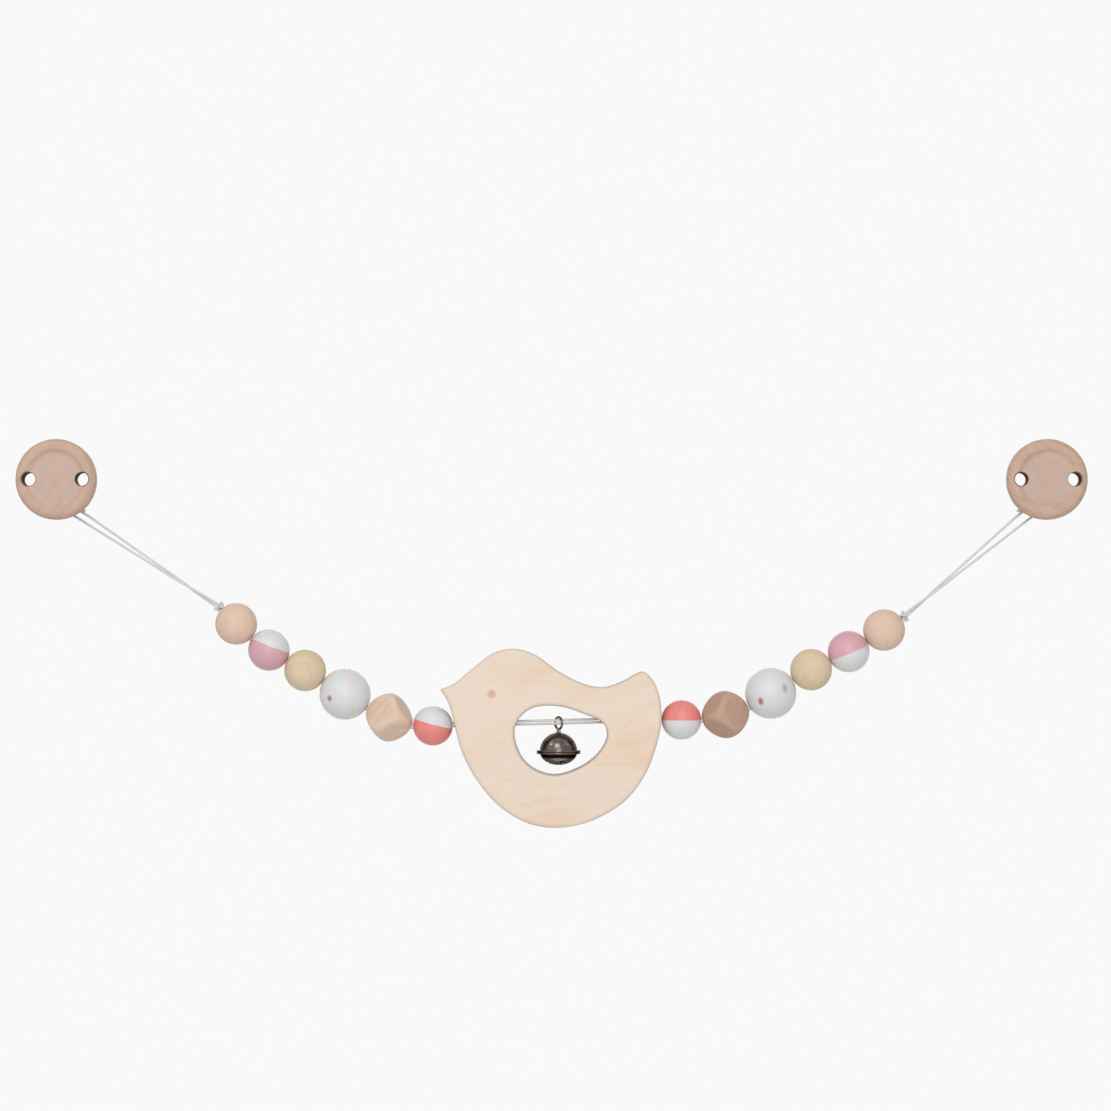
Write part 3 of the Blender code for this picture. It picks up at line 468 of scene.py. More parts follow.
def smoothed(points, steps, closed=False):
    """A smooth run through points, with the same number of steps between each two."""
    points = [Vector(p) for p in points]
    if closed:
        points = points[-1:] + points + points[:2]
    else:
        points = [points[0] * 2 - points[1]] + points + [points[-1] * 2 - points[-2]]
    curve = [curve_between(*points[index - 1:index + 3], step / steps)
             for index in range(1, len(points) - 2) for step in range(steps)]
    return curve if closed else curve + [points[-2]]


def run_length(points):
    return sum((b - a).length for a, b in zip(points, points[1:]))


def spread_evenly(points, count, closed=False):
    """Points at equal steps along a run, which keeps its ends."""
    run = points + [points[0]] if closed else points
    lengths = [0.0]
    for first, second in zip(run, run[1:]):
        lengths.append(lengths[-1] + (second - first).length)
    steps = count if closed else count - 1
    even = []
    index = 0
    for step in range(count):
        wanted = lengths[-1] * step / steps
        while index < len(run) - 2 and lengths[index + 1] < wanted:
            index += 1
        part = (wanted - lengths[index]) / (lengths[index + 1] - lengths[index])
        even.append(run[index].lerp(run[index + 1], min(part, 1.0)))
    return even


def shifted_loop(loop, distance, sharp=None):
    """Move a closed clockwise loop to its right-hand side, mitred at its corners.

    Points that would pass the mitre of the sharp corner stop on it.
    """
    shifted = []
    for index, point in enumerate(loop):
        into = (point - loop[index - 1]).normalized()
        out = (loop[(index + 1) % len(loop)] - point).normalized()
        first = Vector((into.y, -into.x))
        middle = (first + Vector((out.y, -out.x))).normalized()
        shifted.append(point + middle * (distance / max(middle.dot(first), 0.5)))
    if sharp is not None and distance:
        mitre = shifted[sharp]
        inward = mitre - loop[sharp]
        across = Vector((-inward.y, inward.x))
        for way in (-1, 1):
            index = (sharp + way) % len(loop)
            home = across.dot(loop[index] - loop[sharp])
            while across.dot(shifted[index] - loop[sharp]) * home <= 0:
                shifted[index] = mitre
                index = (index + way) % len(loop)
    return shifted


def travelling_frames(points, closed):
    """A pair of cross directions at each point, which turn with the run and no more."""
    count = len(points)
    tangents = []
    for index in range(count):
        before = points[index - 1] if closed else points[max(index - 1, 0)]
        after = points[(index + 1) % count] if closed else points[min(index + 1, count - 1)]
        tangents.append((after - before).normalized())
    side = tangents[0].orthogonal().normalized()
    sides = [side]
    for last, tangent in zip(tangents, tangents[1:]):
        side = last.rotation_difference(tangent) @ side
        side = (side - tangent * side.dot(tangent)).normalized()
        sides.append(side)
    if closed:
        home = tangents[-1].rotation_difference(tangents[0]) @ side
        miss = math.atan2(home.cross(sides[0]).dot(tangents[0]), home.dot(sides[0]))
        for index, tangent in enumerate(tangents):
            sides[index] = Matrix.Rotation(miss * index / count, 3, tangent) @ sides[index]
    return [(side, tangent.cross(side)) for side, tangent in zip(sides, tangents)]


# How far a rounded end stops before its tip, in steps
END_LEFT = 0.4


def swept(bm, points, ring, twist=0.0, closed=False, round_ends=0):
    """Skin a run of points with a ring of (across, up) pairs, which twists once in each lay."""
    frames = travelling_frames(points, closed)
    whole = run_length(points + points[:1] if closed else points)
    turns = 0.0 if not twist else whole / twist
    if closed:
        turns = round(turns)
    rings = []
    gone = 0.0
    for index, (point, (side, up)) in enumerate(zip(points, frames)):
        if index:
            gone += (point - points[index - 1]).length
        turn = Matrix.Rotation(math.tau * turns * gone / whole, 2)
        end = min(index, len(points) - 1 - index)
        size = 1.0
        if not closed and end < round_ends:
            size = math.sqrt(1 - (1 - (end + END_LEFT) / round_ends) ** 2)
        places = [turn @ Vector(pair) * size for pair in ring]
        rings.append([bm.verts.new(point + side * p.x + up * p.y) for p in places])
    skin(bm, rings, closed)
    if not closed:
        bm.faces.new(rings[0])
        bm.faces.new(rings[-1])
    return bm


def round_ring(diameter, count):
    return [Vector((math.cos(math.tau * step / count), math.sin(math.tau * step / count)))
            * (diameter / 2) for step in range(count)]


def plied_ring(diameter, groove, count=12, plies=3):
    """A ring with one bulge for each ply, half of it outside the diameter."""
    ring = []
    for step, point in enumerate(round_ring(diameter, count)):
        bulge = math.cos(plies * math.tau * step / count) * 0.5 + 0.5
        ring.append(point * (1 + groove / 2 - groove * (1 - bulge) ** 1.5))
    return ring


def mesh_from(name, bm, smooth=35.0):
    bmesh.ops.recalc_face_normals(bm, faces=bm.faces)
    mesh = bpy.data.meshes.new(name)
    bm.to_mesh(mesh)
    bm.free()
    mesh.shade_smooth()
    mesh.set_sharp_from_angle(angle=math.radians(smooth))
    return mesh


def cut(bm, cutters, joined=()):
    """Join shapes to a shape, cut others from it, and return the result as a bmesh."""
    scene = bpy.context.scene.collection
    target = bpy.data.objects.new("blank", mesh_from("blank", bm))
    scene.objects.link(target)
    helpers = []
    for operation, shapes in (("UNION", joined), ("DIFFERENCE", cutters)):
        for shape in shapes:
            helper = bpy.data.objects.new("helper", mesh_from("helper", shape))
            scene.objects.link(helper)
            helpers.append(helper)
            modifier = target.modifiers.new("cut", "BOOLEAN")
            modifier.operation = operation
            modifier.solver = "EXACT"
            modifier.object = helper
    graph = bpy.context.evaluated_depsgraph_get()
    graph.update()
    result = bmesh.new()
    result.from_mesh(target.evaluated_get(graph).to_mesh())
    for old in [target] + helpers:
        mesh = old.data
        bpy.data.objects.remove(old, do_unlink=True)
        bpy.data.meshes.remove(mesh)
    return result


def rod(radius, start, end, segments):
    """A plain round bar between two points."""
    start, end = Vector(start), Vector(end)
    long = (end - start).length
    bm = turned(((0, 0), (0, radius), (long, radius), (long, 0)), segments)
    turn = (end - start).to_track_quat("X", "Z").to_matrix().to_4x4()
    return moved(bm, Matrix.Translation(start) @ turn)


def piece(name, bm, material, body, nodes, at=Matrix(), smooth=35.0):
    """Put a finished piece in the scene, on its body and for its solids."""
    obj = bpy.data.objects.new(name, mesh_from(name, bm, smooth))
    obj.data.materials.append(material)
    obj.matrix_world = at
    bpy.context.scene.collection.objects.link(obj)
    bpy.context.view_layer.update()
    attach(obj, body)
    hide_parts(*nodes)
    return obj


# Layout of the chain

# The bird's outline is measured from the first point, and the bell hangs at the second
BIRD_PLACE = Vector((2.64, 0, -97.54)) * MM
BELL_PLACE = Vector((3.14, 0, -97.53)) * MM
# How the bird's bore rises to the right, and where it ends as shares of the bird's length
BIRD_TILT = math.radians(1.5)
BIRD_MOUTH = {"left": -0.472, "right": 0.475}
# How much of each bore the cord passes through straight
BORE_STRAIGHT = 0.94
SIDES = {"left": -1, "right": 1}
# The beads from the bird outwards, with the name of their size, and how steeply the bores rise
ROW = (("coral", "coral_ball"), ("cube", "cube_flat"), ("dotted", "large_ball"),
       ("pale", "ball"), ("pink", "ball"), ("beech", "ball"))
RISES = {
    "left": (-3.0, 22.0, 33.5, 27.0, 32.0, 45.0),
    "right": (-2.0, 14.0, 36.0, 23.0, 28.5, 34.0),
}
# How each cube is turned about its bore, and how square the rounding leaves it
CUBE_TURN = {"left": math.radians(-15.0), "right": math.radians(55.0)}
CUBE_SHARPNESS = 12
# The knot: its size, and as shares of it how far its lobes reach and how high it stands
KNOT_TRAVEL = 0.64 * MM
KNOT_LOBE = 2.0
KNOT_HEIGHT = 1.25
# Steps round the knot
KNOT_STEPS = 90
# The cut ends: how far they lean outwards and to the front, where they start in cord diameters,
# and how far they bend
TAIL_OUT = 0.28
TAIL_FRONT = 0.35
TAIL_START = 0.9
TAIL_BEND = 0.35
# The cord is shaded smoothly across edges up to this many degrees
CORD_SMOOTH = 80.0
# Steps of a cord in one lay, and how many steps apart the points of its path are
LAY_STEPS = 12
PATH_STEPS = 4
# Where each loop's strands leave the knot, how steeply they rise, how far they lie twisted
# together, and how far the wraps of the hitch are from its middle
LOOPS = {
    "left": {"knot": (-149.52, 0, -45.87), "rise": math.radians(33.5), "joined": 32.0,
             "spread": 3.6},
    "right": {"knot": (158.49, 0, -50.23), "rise": math.asin(50.23 / 78.5), "joined": 26.0,
              "spread": 4.0},
}
# From the chain's middle to the middle of each hitch, and the radius of its wraps about the bar
HITCH_OUT = 218.81 * MM
HITCH_RADIUS = 2.2 * MM
# Steps in which a loop's strands cross
CROSSING = 6
# Each wrap about the bar: back and up in wrap radii, and along the bar in cord diameters
WRAP = ((1.00, -0.15), (0.72, 0.70), (0.00, 1.00), (-0.72, 0.70), (-1.00, 0.00),
        (-0.72, -0.72), (0.00, -1.05), (0.65, -1.08), (1.30, -1.12))
NEAR_WRAP = (0.00, 0.45, 1.10, 1.80, 2.60, 3.40, 4.00, 4.20, 4.00, 3.00)
FAR_WRAP = (0.00, -0.15, -0.35, -0.55, -0.75, -0.90, -1.00, -1.10, -0.65, 0.50)
# Back and up of each wrap's last point, and of the bight between the wraps
NEAR_END, FAR_END = (1.70, -1.14), (1.68, -1.14)
BIGHT = (1.80, -1.14)


def cube_reach(direction, turn):
    """Distance from the middle of the rounded cube to its surface. X is the drilled diagonal."""
    sizes = settings("beads")
    total = (2 / sizes.cube_round) ** CUBE_SHARPNESS
    total += abs(direction.x * 2 / sizes.cube_end) ** CUBE_SHARPNESS
    for third in range(3):
        around = turn + math.tau * third / 3
        across = math.sqrt(2 / 3)
        normal = Vector((math.sqrt(1 / 3), across * math.cos(around), across * math.sin(around)))
        total += abs(direction.dot(normal) * 2 / sizes.cube_flat) ** CUBE_SHARPNESS
    return total ** (-1 / CUBE_SHARPNESS)


def bead_places(side):
    """Name, kind, half length, middle and outward bore of each bead on a side."""
    sizes = settings("beads")
    places = []
    for (kind, size), rise in zip(ROW, RISES[side]):
        node = "%s_%s_bead" % (side, kind)
        low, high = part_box(node)
        reach = getattr(sizes, size) / 2
        if kind == "cube":
            reach = cube_reach(Vector((1, 0, 0)), 0)
        turn = math.radians(rise)
        places.append({
            "node": node,
            "kind": kind,
            "side": side,
            "reach": reach,
            "centre": (Vector(low) + Vector(high)) / 2,
            "out": Vector((SIDES[side] * math.cos(turn), 0, math.sin(turn))),
            "slope": SIDES[side] * turn,
        })
    return places


def mouth_reach(reach):
    """From a bead's middle to the plane of its bore's mouth."""
    sizes = settings("beads")
    return reach * math.cos(math.asin((sizes.bore / 2 + sizes.mouth) / reach))


# Cords

def lifted(point, along, lift):
    """Move a point square to a direction in the X-Z plane, upwards."""
    up = Vector((-along.z, 0, along.x)).normalized()
    return point + up * math.copysign(lift, lift * along.x)


def threaded_route(lift):
    """One strand of the doubled cord from the left knot to the right, straight in each bore."""
    line = Vector((math.cos(BIRD_TILT), 0, math.sin(BIRD_TILT)))
    reach = settings("bird").long / line.x
    points = []
    for side, way in SIDES.items():
        mouth = BIRD_PLACE + line * (BIRD_MOUTH[side] * reach)
        run = [lifted(BIRD_PLACE.lerp(mouth, BORE_STRAIGHT), line * way, lift)]
        beads = bead_places(side)
        for bead in beads:
            for part in (-BORE_STRAIGHT, BORE_STRAIGHT):
                place = bead["centre"] + bead["out"] * (bead["reach"] * part)
                run.append(lifted(place, bead["out"], lift))
        last = beads[-1]
        place = last["centre"] + last["out"] * mouth_reach(last["reach"])
        run.append(lifted(place, last["out"], lift))
        points += run[::-1] if side == "left" else run
    return points


def loop_route(side):
    """From the knot up one strand, round the bail's bar, and down the other strand. The strands
    cross once, half a turn about each other, where they lie together."""
    cord = settings("cord")
    loop = LOOPS[side]
    way = SIDES[side]
    knot = Vector(loop["knot"]) * MM
    up = Vector((way * math.cos(loop["rise"]), 0, math.sin(loop["rise"])))
    across = Vector((-way * up.z, 0, abs(up.x)))
    hitch = []
    for wrap, end, lean in ((NEAR_WRAP, NEAR_END, 1), (FAR_WRAP, FAR_END, -1)):
        middle = lean * loop["spread"] * MM
        run = [Vector((way * (HITCH_OUT - middle - along * cord.diameter),
                       back * HITCH_RADIUS, rise * HITCH_RADIUS))
               for along, (back, rise) in zip(wrap, (*WRAP, end))]
        if hitch:
            hitch.append(Vector((way * HITCH_OUT, *[HITCH_RADIUS * part for part in BIGHT])))
            run.reverse()
        hitch += run
    strands = []
    foot = KNOT_TRAVEL * KNOT_HEIGHT
    for lift, top in ((cord.joined / 2, hitch[0]), (-cord.joined / 2, hitch[-1])):
        strand = []
        for part in range(CROSSING + 1):
            turn = math.pi * (1 - part / CROSSING)
            place = knot + up * (foot + loop["joined"] * MM * part / CROSSING)
            round_it = across * math.cos(turn) + Vector((0, math.sin(turn), 0))
            strand.append(place + round_it * lift)
        joined = strand[-1]
        strand += [joined.lerp(top, part / 5) for part in range(1, 5)]
        strands.append(strand)
    return strands[0] + hitch + strands[1][::-1]


def knot_route(side, along):
    """The centre line of an overhand knot, drawn up tight. Its short axis lies along the bore."""
    knot = Vector(LOOPS[side]["knot"]) * MM
    across = Vector((0, 1, 0))
    up = along.cross(across)
    run = []
    for step in range(KNOT_STEPS):
        t = math.tau * step / KNOT_STEPS
        x = math.sin(t) + KNOT_LOBE * math.sin(2 * t)
        y = math.cos(t) - KNOT_LOBE * math.cos(2 * t)
        z = -KNOT_HEIGHT * math.sin(3 * t)
        run.append(knot + (across * x + up * y + along * z) * KNOT_TRAVEL)
    return run


def cord_finish():
    """White twisted fibre, with painted shade greyer down between the plies."""
    cord = settings("cord")
    finish = Finish("twisted_cord", roughness=0.78)
    place = finish.place()
    hair = finish.noise(place, 5.0, detail=3.0, rough=0.7)
    soil = finish.noise(place, 0.35)
    # Painted shade: the creases between the plies are greyer
    crease = finish.node("ShaderNodeNewGeometry", output="Pointiness")
    deep = finish.step(crease, 0.5, 0.42)
    tint = finish.blend(deep, cord.fibre, cord.shade)
    tint = finish.blend(hair * 0.35, tint, times(cord.shade, 1.15))
    tint = finish.blend(finish.step(soil, 0.5, 0.8) * 0.25, tint, cord.shade)
    return finish.made(tint, 0.7 + hair * 0.2, hair, 0.05)


def lay_cord(name, node, route, material, ring, **knots):
    """One length of cord along a route."""
    cord = settings("cord")
    long = run_length(route)
    points = spread_evenly(route, round(long / (cord.lay / LAY_STEPS)))
    bm = swept(bmesh.new(), points, ring, twist=cord.lay)
    obj = piece(name, bm, material, "string", [node], smooth=CORD_SMOOTH)
    points[::PATH_STEPS] + [points[-1]]


def add_tails(bm, side, along, ring):
    """The two cut ends that stand out of a knot, one up and one down."""
    cord = settings("cord")
    knot = Vector(LOOPS[side]["knot"]) * MM
    up = Vector((-along.z, 0, along.x)) * SIDES[side]
    for way in (1, -1):
        lean = (up * way + along * TAIL_OUT + Vector((0, -TAIL_FRONT * way, 0))).normalized()
        start = knot + lean * (cord.diameter * TAIL_START)
        bend = start + lean * (cord.tail / 2)
        end = bend + (lean + along * TAIL_BEND).normalized() * (cord.tail / 2)
        points = spread_evenly(smoothed([start, bend, end], 8), 16)
        swept(bm, points, ring, twist=cord.lay, round_ends=3)


# Wood

WOOD_SHEEN = 0.1
# Painted shade on the walls of the discs' holes, and the colour that the flecks lean to
HOLE_SHADE = linear((84, 58, 47))
FLECK = (0.35, 0.16, 0.08)


def wood_colour(finish, tint, turn, shift, rings, fleck, depth):
    """Turned wood: growth rings, long fibres and short dark flecks along the grain."""
    lie = {"turn": turn, "shift": shift}
    along, across, deep = finish.parts(finish.place(**lie))
    warp = finish.grain((0.05, 0.22, 0.22), **lie)
    heart = finish.node("ShaderNodeCombineXYZ", inputs={0: 0.0, 1: across + 21.0, 2: deep * 0.8})
    reach = finish.length(heart) + warp * 3.2 + along * 0.03
    late = (reach / rings).fraction() ** 4.0
    fibre = finish.grain((0.35, 5.0, 5.0), 3.0, 0.6, **lie)
    broad = finish.grain((0.04, 0.3, 0.3), 1.0, **lie)
    dash = finish.grain((0.7, 3.2, 6.0), 1.0, **lie)
    specks = finish.step(dash, 0.64, 0.72) * fleck
    tinted = tint
    for amount, toward in (
            (late * (0.34 * depth), times(tint, 0.74)),
            (finish.step(fibre, 0.35, 0.75) * (0.30 * depth), times(tint, 0.80)),
            (finish.step(broad, 0.3, 0.7) * (0.35 * depth), times(tint, 1.09)),
            (specks, times(mixed(tint, FLECK, 0.35), 0.72))):
        tinted = finish.blend(amount, tinted, toward)
    return tinted, fibre, specks


def wood_base(name):
    """A material with the dull sheen of bare wood."""
    finish = Finish(name, roughness=0.52)
    finish.shader.inputs["Specular IOR Level"].default_value = WOOD_SHEEN
    return finish


def wood_finish(name, tint, turn, shift, rings, fleck, depth, worn):
    """Bare turned wood. Worn is how much paler its edges are painted, as a highlight."""
    finish = wood_base(name)
    tinted, fibre, specks = wood_colour(finish, tint, turn, shift, rings, fleck, depth)
    # Painted highlight: the rounded edges are paler
    if worn:
        edge = finish.step(finish.node("ShaderNodeNewGeometry", output="Pointiness"), 0.5, 0.53)
        tinted = finish.blend(edge * worn, tinted, times(tint, 1.25))
    return finish_wood(finish, tinted, fibre, specks)


def finish_wood(finish, tinted, fibre, specks, extra_rough=0.0):
    """Bare wood of a colour, with its fibres standing up. The extra roughness makes it rougher."""
    return finish.made(tinted, 0.46 + fibre * 0.16 + extra_rough, fibre - specks * 0.8, 0.06)


def bare_bore(finish, place, painted, sizes):
    """Paint stops at the drilled hole, where the wood is bare."""
    apart = finish.vector("MULTIPLY", place, (0, 1, 1))
    wear = finish.noise(place, 1.4) * 0.5
    bore = sizes.bore / 2 / MM
    bare = finish.step(finish.length(apart) + wear, bore + 0.55, bore + 0.25)
    return finish.blend(bare, painted, times(sizes.beech, 0.8)), bare


# Beads

# Segments round the bore, and rings from mouth to mouth
BALL_FINENESS = (64, 44)
CUBE_FINENESS = (96, 72)
# Bare beads: the slot, the turn of the grain, the distance between its rings in millimetres, how
# many flecks and how strong a figure it has, and how strong a painted highlight its edges have
WOODS = {
    "beech": ("beech", (0.0, 0.3, 0.4), 2.8, 0.4, 0.8, 0.0),
    "pale": ("pale_wood", (0.2, 0.5, 0.3), 3.4, 0.12, 1.1, 0.0),
    "cube": ("beech", (0.4, 0.9, 0.2), 2.4, 0.55, 1.25, 0.5),
}
WOOD_SHIFT = {"left": (3.0, 7.0, 11.0), "right": (23.0, -9.0, 4.0)}
# Lean of the paint line, its height above the middle in millimetres, and which colour is on top
SPLITS = {
    ("left", "pink"): (-21.0, 2.1, "white"),
    ("left", "coral"): (-14.6, 0.9, "white"),
    ("right", "coral"): (0.0, 0.0, "coral"),
    ("right", "pink"): (22.9, -0.5, "pink"),
}
# Dots on the front: right and up as shares of the ball's radius, their own radius in millimetres,
# how far they are drawn out upwards, and their colour
DOTS = {
    "left": (
        (-0.54, -0.15, 1.3, 1.1, (172, 88, 108)), (0.30, 0.46, 1.7, 1.0, (240, 206, 216)),
        (0.36, -0.62, 1.7, 1.0, (226, 216, 158)),
    ),
    "right": (
        (-0.46, -0.30, 1.3, 1.5, (158, 98, 62)), (0.48, 0.22, 1.5, 1.4, (158, 178, 206)),
    ),
}
# Dots at the back: which way they lie from the ball's middle, and their colour. Their radius is in
# millimetres
BACK_DOT_RADIUS = 1.15
BACK_DOTS = (
    ((0.55, 0.70, 0.45), (205, 150, 170)), ((-0.50, 0.72, 0.48), (226, 210, 140)),
    ((0.05, 0.80, -0.60), (160, 180, 208)), ((-0.15, 0.30, 0.94), (172, 110, 76)),
    ((0.10, -0.20, -0.97), (236, 190, 204)), ((-0.78, 0.60, -0.20), (158, 178, 206)),
    ((0.80, 0.58, -0.15), (172, 88, 108)),
)


def ball_shape(reach, segments, rings):
    """A drilled ball with softened mouths. X runs along the bore."""
    sizes = settings("beads")
    bore, mouth = sizes.bore / 2, sizes.mouth
    first = math.asin((bore + mouth) / reach)
    profile = oval((0, 0), (-reach, reach), first, math.pi - first, rings)
    end = reach * math.cos(first)
    throat = oval((end - mouth, bore + mouth), (mouth, -mouth), 0, RIGHT, 4)[1:]
    return turned(profile + throat + mirrored(throat), segments, True)


def cube_shape(side, reach):
    """A drilled ball whose outside is drawn to the rounded cube."""
    sizes = settings("beads")
    bm = ball_shape(reach, *CUBE_FINENESS)
    limit = sizes.bore / 2 + sizes.mouth * 0.98
    for vert in bm.verts:
        if vert.co.yz.length > limit and vert.co.length > reach * 0.999:
            direction = vert.co.normalized()
            vert.co = direction * cube_reach(direction, CUBE_TURN[side])
    return bm


def paint_coat(finish, place, painted, sizes, ridge=0.0):
    """Satin paint over a turned ball, with the wood's unevenness showing faintly."""
    uneven = finish.noise(place, 0.45)
    peel = finish.noise(place, 2.4)
    worn = finish.step(uneven, 0.35, 0.75) * 0.10
    painted = finish.blend(worn, painted, times(sizes.beech, 0.9))
    painted, bare = bare_bore(finish, place, painted, sizes)
    return finish.made(painted, 0.34 + uneven * 0.16 + bare * 0.2,
                       peel * 0.5 + uneven * 0.6 + ridge, 0.05)


def split_finish(bead, tint):
    """Two paints that meet in a dipped line."""
    sizes = settings("beads")
    lean, height, top = SPLITS[bead["side"], bead["kind"]]
    finish = Finish("%s_%s_paint" % (bead["side"], bead["kind"]), roughness=0.4)
    place = finish.place()
    lean = math.radians(lean)
    normal = turn_of(bead).inverted() @ Vector((-math.sin(lean), 0, math.cos(lean)))
    wander = finish.noise(place, 0.35, detail=1.0)
    above = finish.along(place, normal) - height + (wander - 0.5) * 0.7
    upper, lower = (sizes.white, tint) if top == "white" else (tint, sizes.white)
    painted = finish.blend(finish.step(above, -0.14, 0.14), lower, upper)
    lip = 1 - finish.step(abs(above), 0.0, 0.35)
    return paint_coat(finish, place, painted, sizes, lip * 1.4)


def turn_of(bead):
    """The turn that lays a bead's bore along its row."""
    return Matrix.Rotation(-bead["slope"], 3, "Y")


def dotted_finish(bead):
    """White paint with small soft dots."""
    sizes = settings("beads")
    finish = Finish(bead["side"] + "_dotted_paint", roughness=0.38)
    place = finish.place()
    home = turn_of(bead).inverted()
    reach = bead["reach"] / MM
    painted = sizes.white
    front = []
    for right, up, radius, stretch, tint in DOTS[bead["side"]]:
        out = -math.sqrt(1 - right * right - up * up)
        front.append((Vector((right, out, up)), radius, stretch, tint))
    back = [(Vector(way).normalized(), BACK_DOT_RADIUS, 1.0, tint) for way, tint in BACK_DOTS]
    for way, radius, stretch, tint in front + back:
        away = finish.vector("SUBTRACT", place, home @ (way * reach))
        tall = finish.along(away, home @ Vector((0, 0, 1)))
        apart = finish.length(away)
        shape = (apart * apart - tall * tall * (1 - 1 / stretch ** 2)) ** 0.5
        halo = finish.step(shape, radius * 1.5, radius * 0.7)
        core = finish.step(shape, radius * 0.95, radius * 0.45)
        painted = finish.blend(halo * 0.45, painted, linear(tint))
        painted = finish.blend(core * 0.8, painted, linear(tint))
    return paint_coat(finish, place, painted, sizes)


def bead_finish(bead):
    """The material of a bead, and the slot that it fills."""
    sizes = settings("beads")
    side, kind = bead["side"], bead["kind"]
    if kind in ("pink", "coral"):
        return split_finish(bead, getattr(sizes, kind)), kind + "_paint"
    if kind == "dotted":
        return dotted_finish(bead), "white_paint"
    tint = {"beech": sizes.beech, "pale": sizes.pale,
            "cube": sizes.beech_cube if side == "left" else sizes.beech_dark}[kind]
    slot, turn, *figure = WOODS[kind]
    name = "%s_%s_wood" % (side, kind)
    return wood_finish(name, tint, turn, WOOD_SHIFT[side], *figure), slot


# Bird

# The outline and the opening as shares of the bird's length, right and up from its place
BIRD_OUTLINE = (
    (-0.533, 0.149), (-0.474, 0.173), (-0.384, 0.246), (-0.287, 0.317), (-0.197, 0.333),
    (-0.107, 0.308), (0.007, 0.230), (0.105, 0.179), (0.202, 0.158), (0.292, 0.183),
    (0.357, 0.219), (0.393, 0.229), (0.430, 0.196), (0.462, 0.126), (0.473, 0.011),
    (0.451, -0.103), (0.402, -0.233), (0.309, -0.356), (0.153, -0.449), (-0.001, -0.480),
    (-0.132, -0.460), (-0.262, -0.384), (-0.368, -0.262), (-0.435, -0.135), (-0.470, -0.005),
    (-0.497, 0.089),
)
BIRD_OPENING = (
    (-0.197, -0.062), (-0.179, 0.009), (-0.127, 0.058), (-0.058, 0.075), (0.037, 0.066),
    (0.129, 0.034), (0.202, 0.000), (0.227, -0.054), (0.202, -0.121), (0.120, -0.196),
    (-0.022, -0.240), (-0.145, -0.183),
)
# The eye from the same place, in millimetres
BIRD_EYE = Vector((-29.5, 0, 12.7))
# The flat margin inside the rounded edges, which lies in the faces
BIRD_MARGIN = 0.5 * MM
# Steps round an edge, and points along the outline and along the opening
EDGE_STEPS = 7
BIRD_POINTS = 360
OPENING_POINTS = 180


def bird_wall(bm, loop, way, sharp=None):
    """Skin one loop over the rounded edges, with a flat margin, and return its two ends."""
    bird = settings("bird")
    half, edge = bird.thick / 2, bird.edge
    levels = [(-half, edge + BIRD_MARGIN)]
    levels += oval((edge - half, edge), (-edge, -edge), 0, RIGHT, EDGE_STEPS)
    levels += mirrored(levels)
    rings = []
    for depth, inset in levels:
        made = {}
        spots = [tuple(point) for point in shifted_loop(loop, way * inset, sharp)]
        for x, z in spots:
            if (x, z) not in made:
                made[x, z] = bm.verts.new((x, depth, z))
        rings.append([made[spot] for spot in spots])
    skin(bm, rings)
    ends = []
    for ring in (rings[0], rings[-1]):
        pairs = zip(ring, ring[1:] + ring[:1])
        ends.append([bm.edges.get(pair) for pair in pairs if pair[0] is not pair[1]])
    return ends


def bird_shape():
    """The sawn board with its opening, bored right through for the cord."""
    bird = settings("bird")
    outer = [Vector(point) * bird.long for point in BIRD_OUTLINE]
    outer = spread_evenly(smoothed(outer + [outer[0]], 12)[:-1], BIRD_POINTS, True)
    opening = smoothed([Vector(point) * bird.long for point in BIRD_OPENING], 12, True)
    opening = spread_evenly(opening, OPENING_POINTS, True)
    bm = bmesh.new()
    outer_front, outer_back = bird_wall(bm, outer, 1, 0)
    inner_front, inner_back = bird_wall(bm, opening, -1)
    for edges in (outer_front + inner_front, outer_back + inner_back):
        bmesh.ops.triangle_fill(bm, edges=edges, use_beauty=True)
    reach = Vector((math.cos(BIRD_TILT), 0, math.sin(BIRD_TILT))) * bird.long
    return cut(bm, [rod(settings("beads").bore / 2, -reach, reach, 40)])


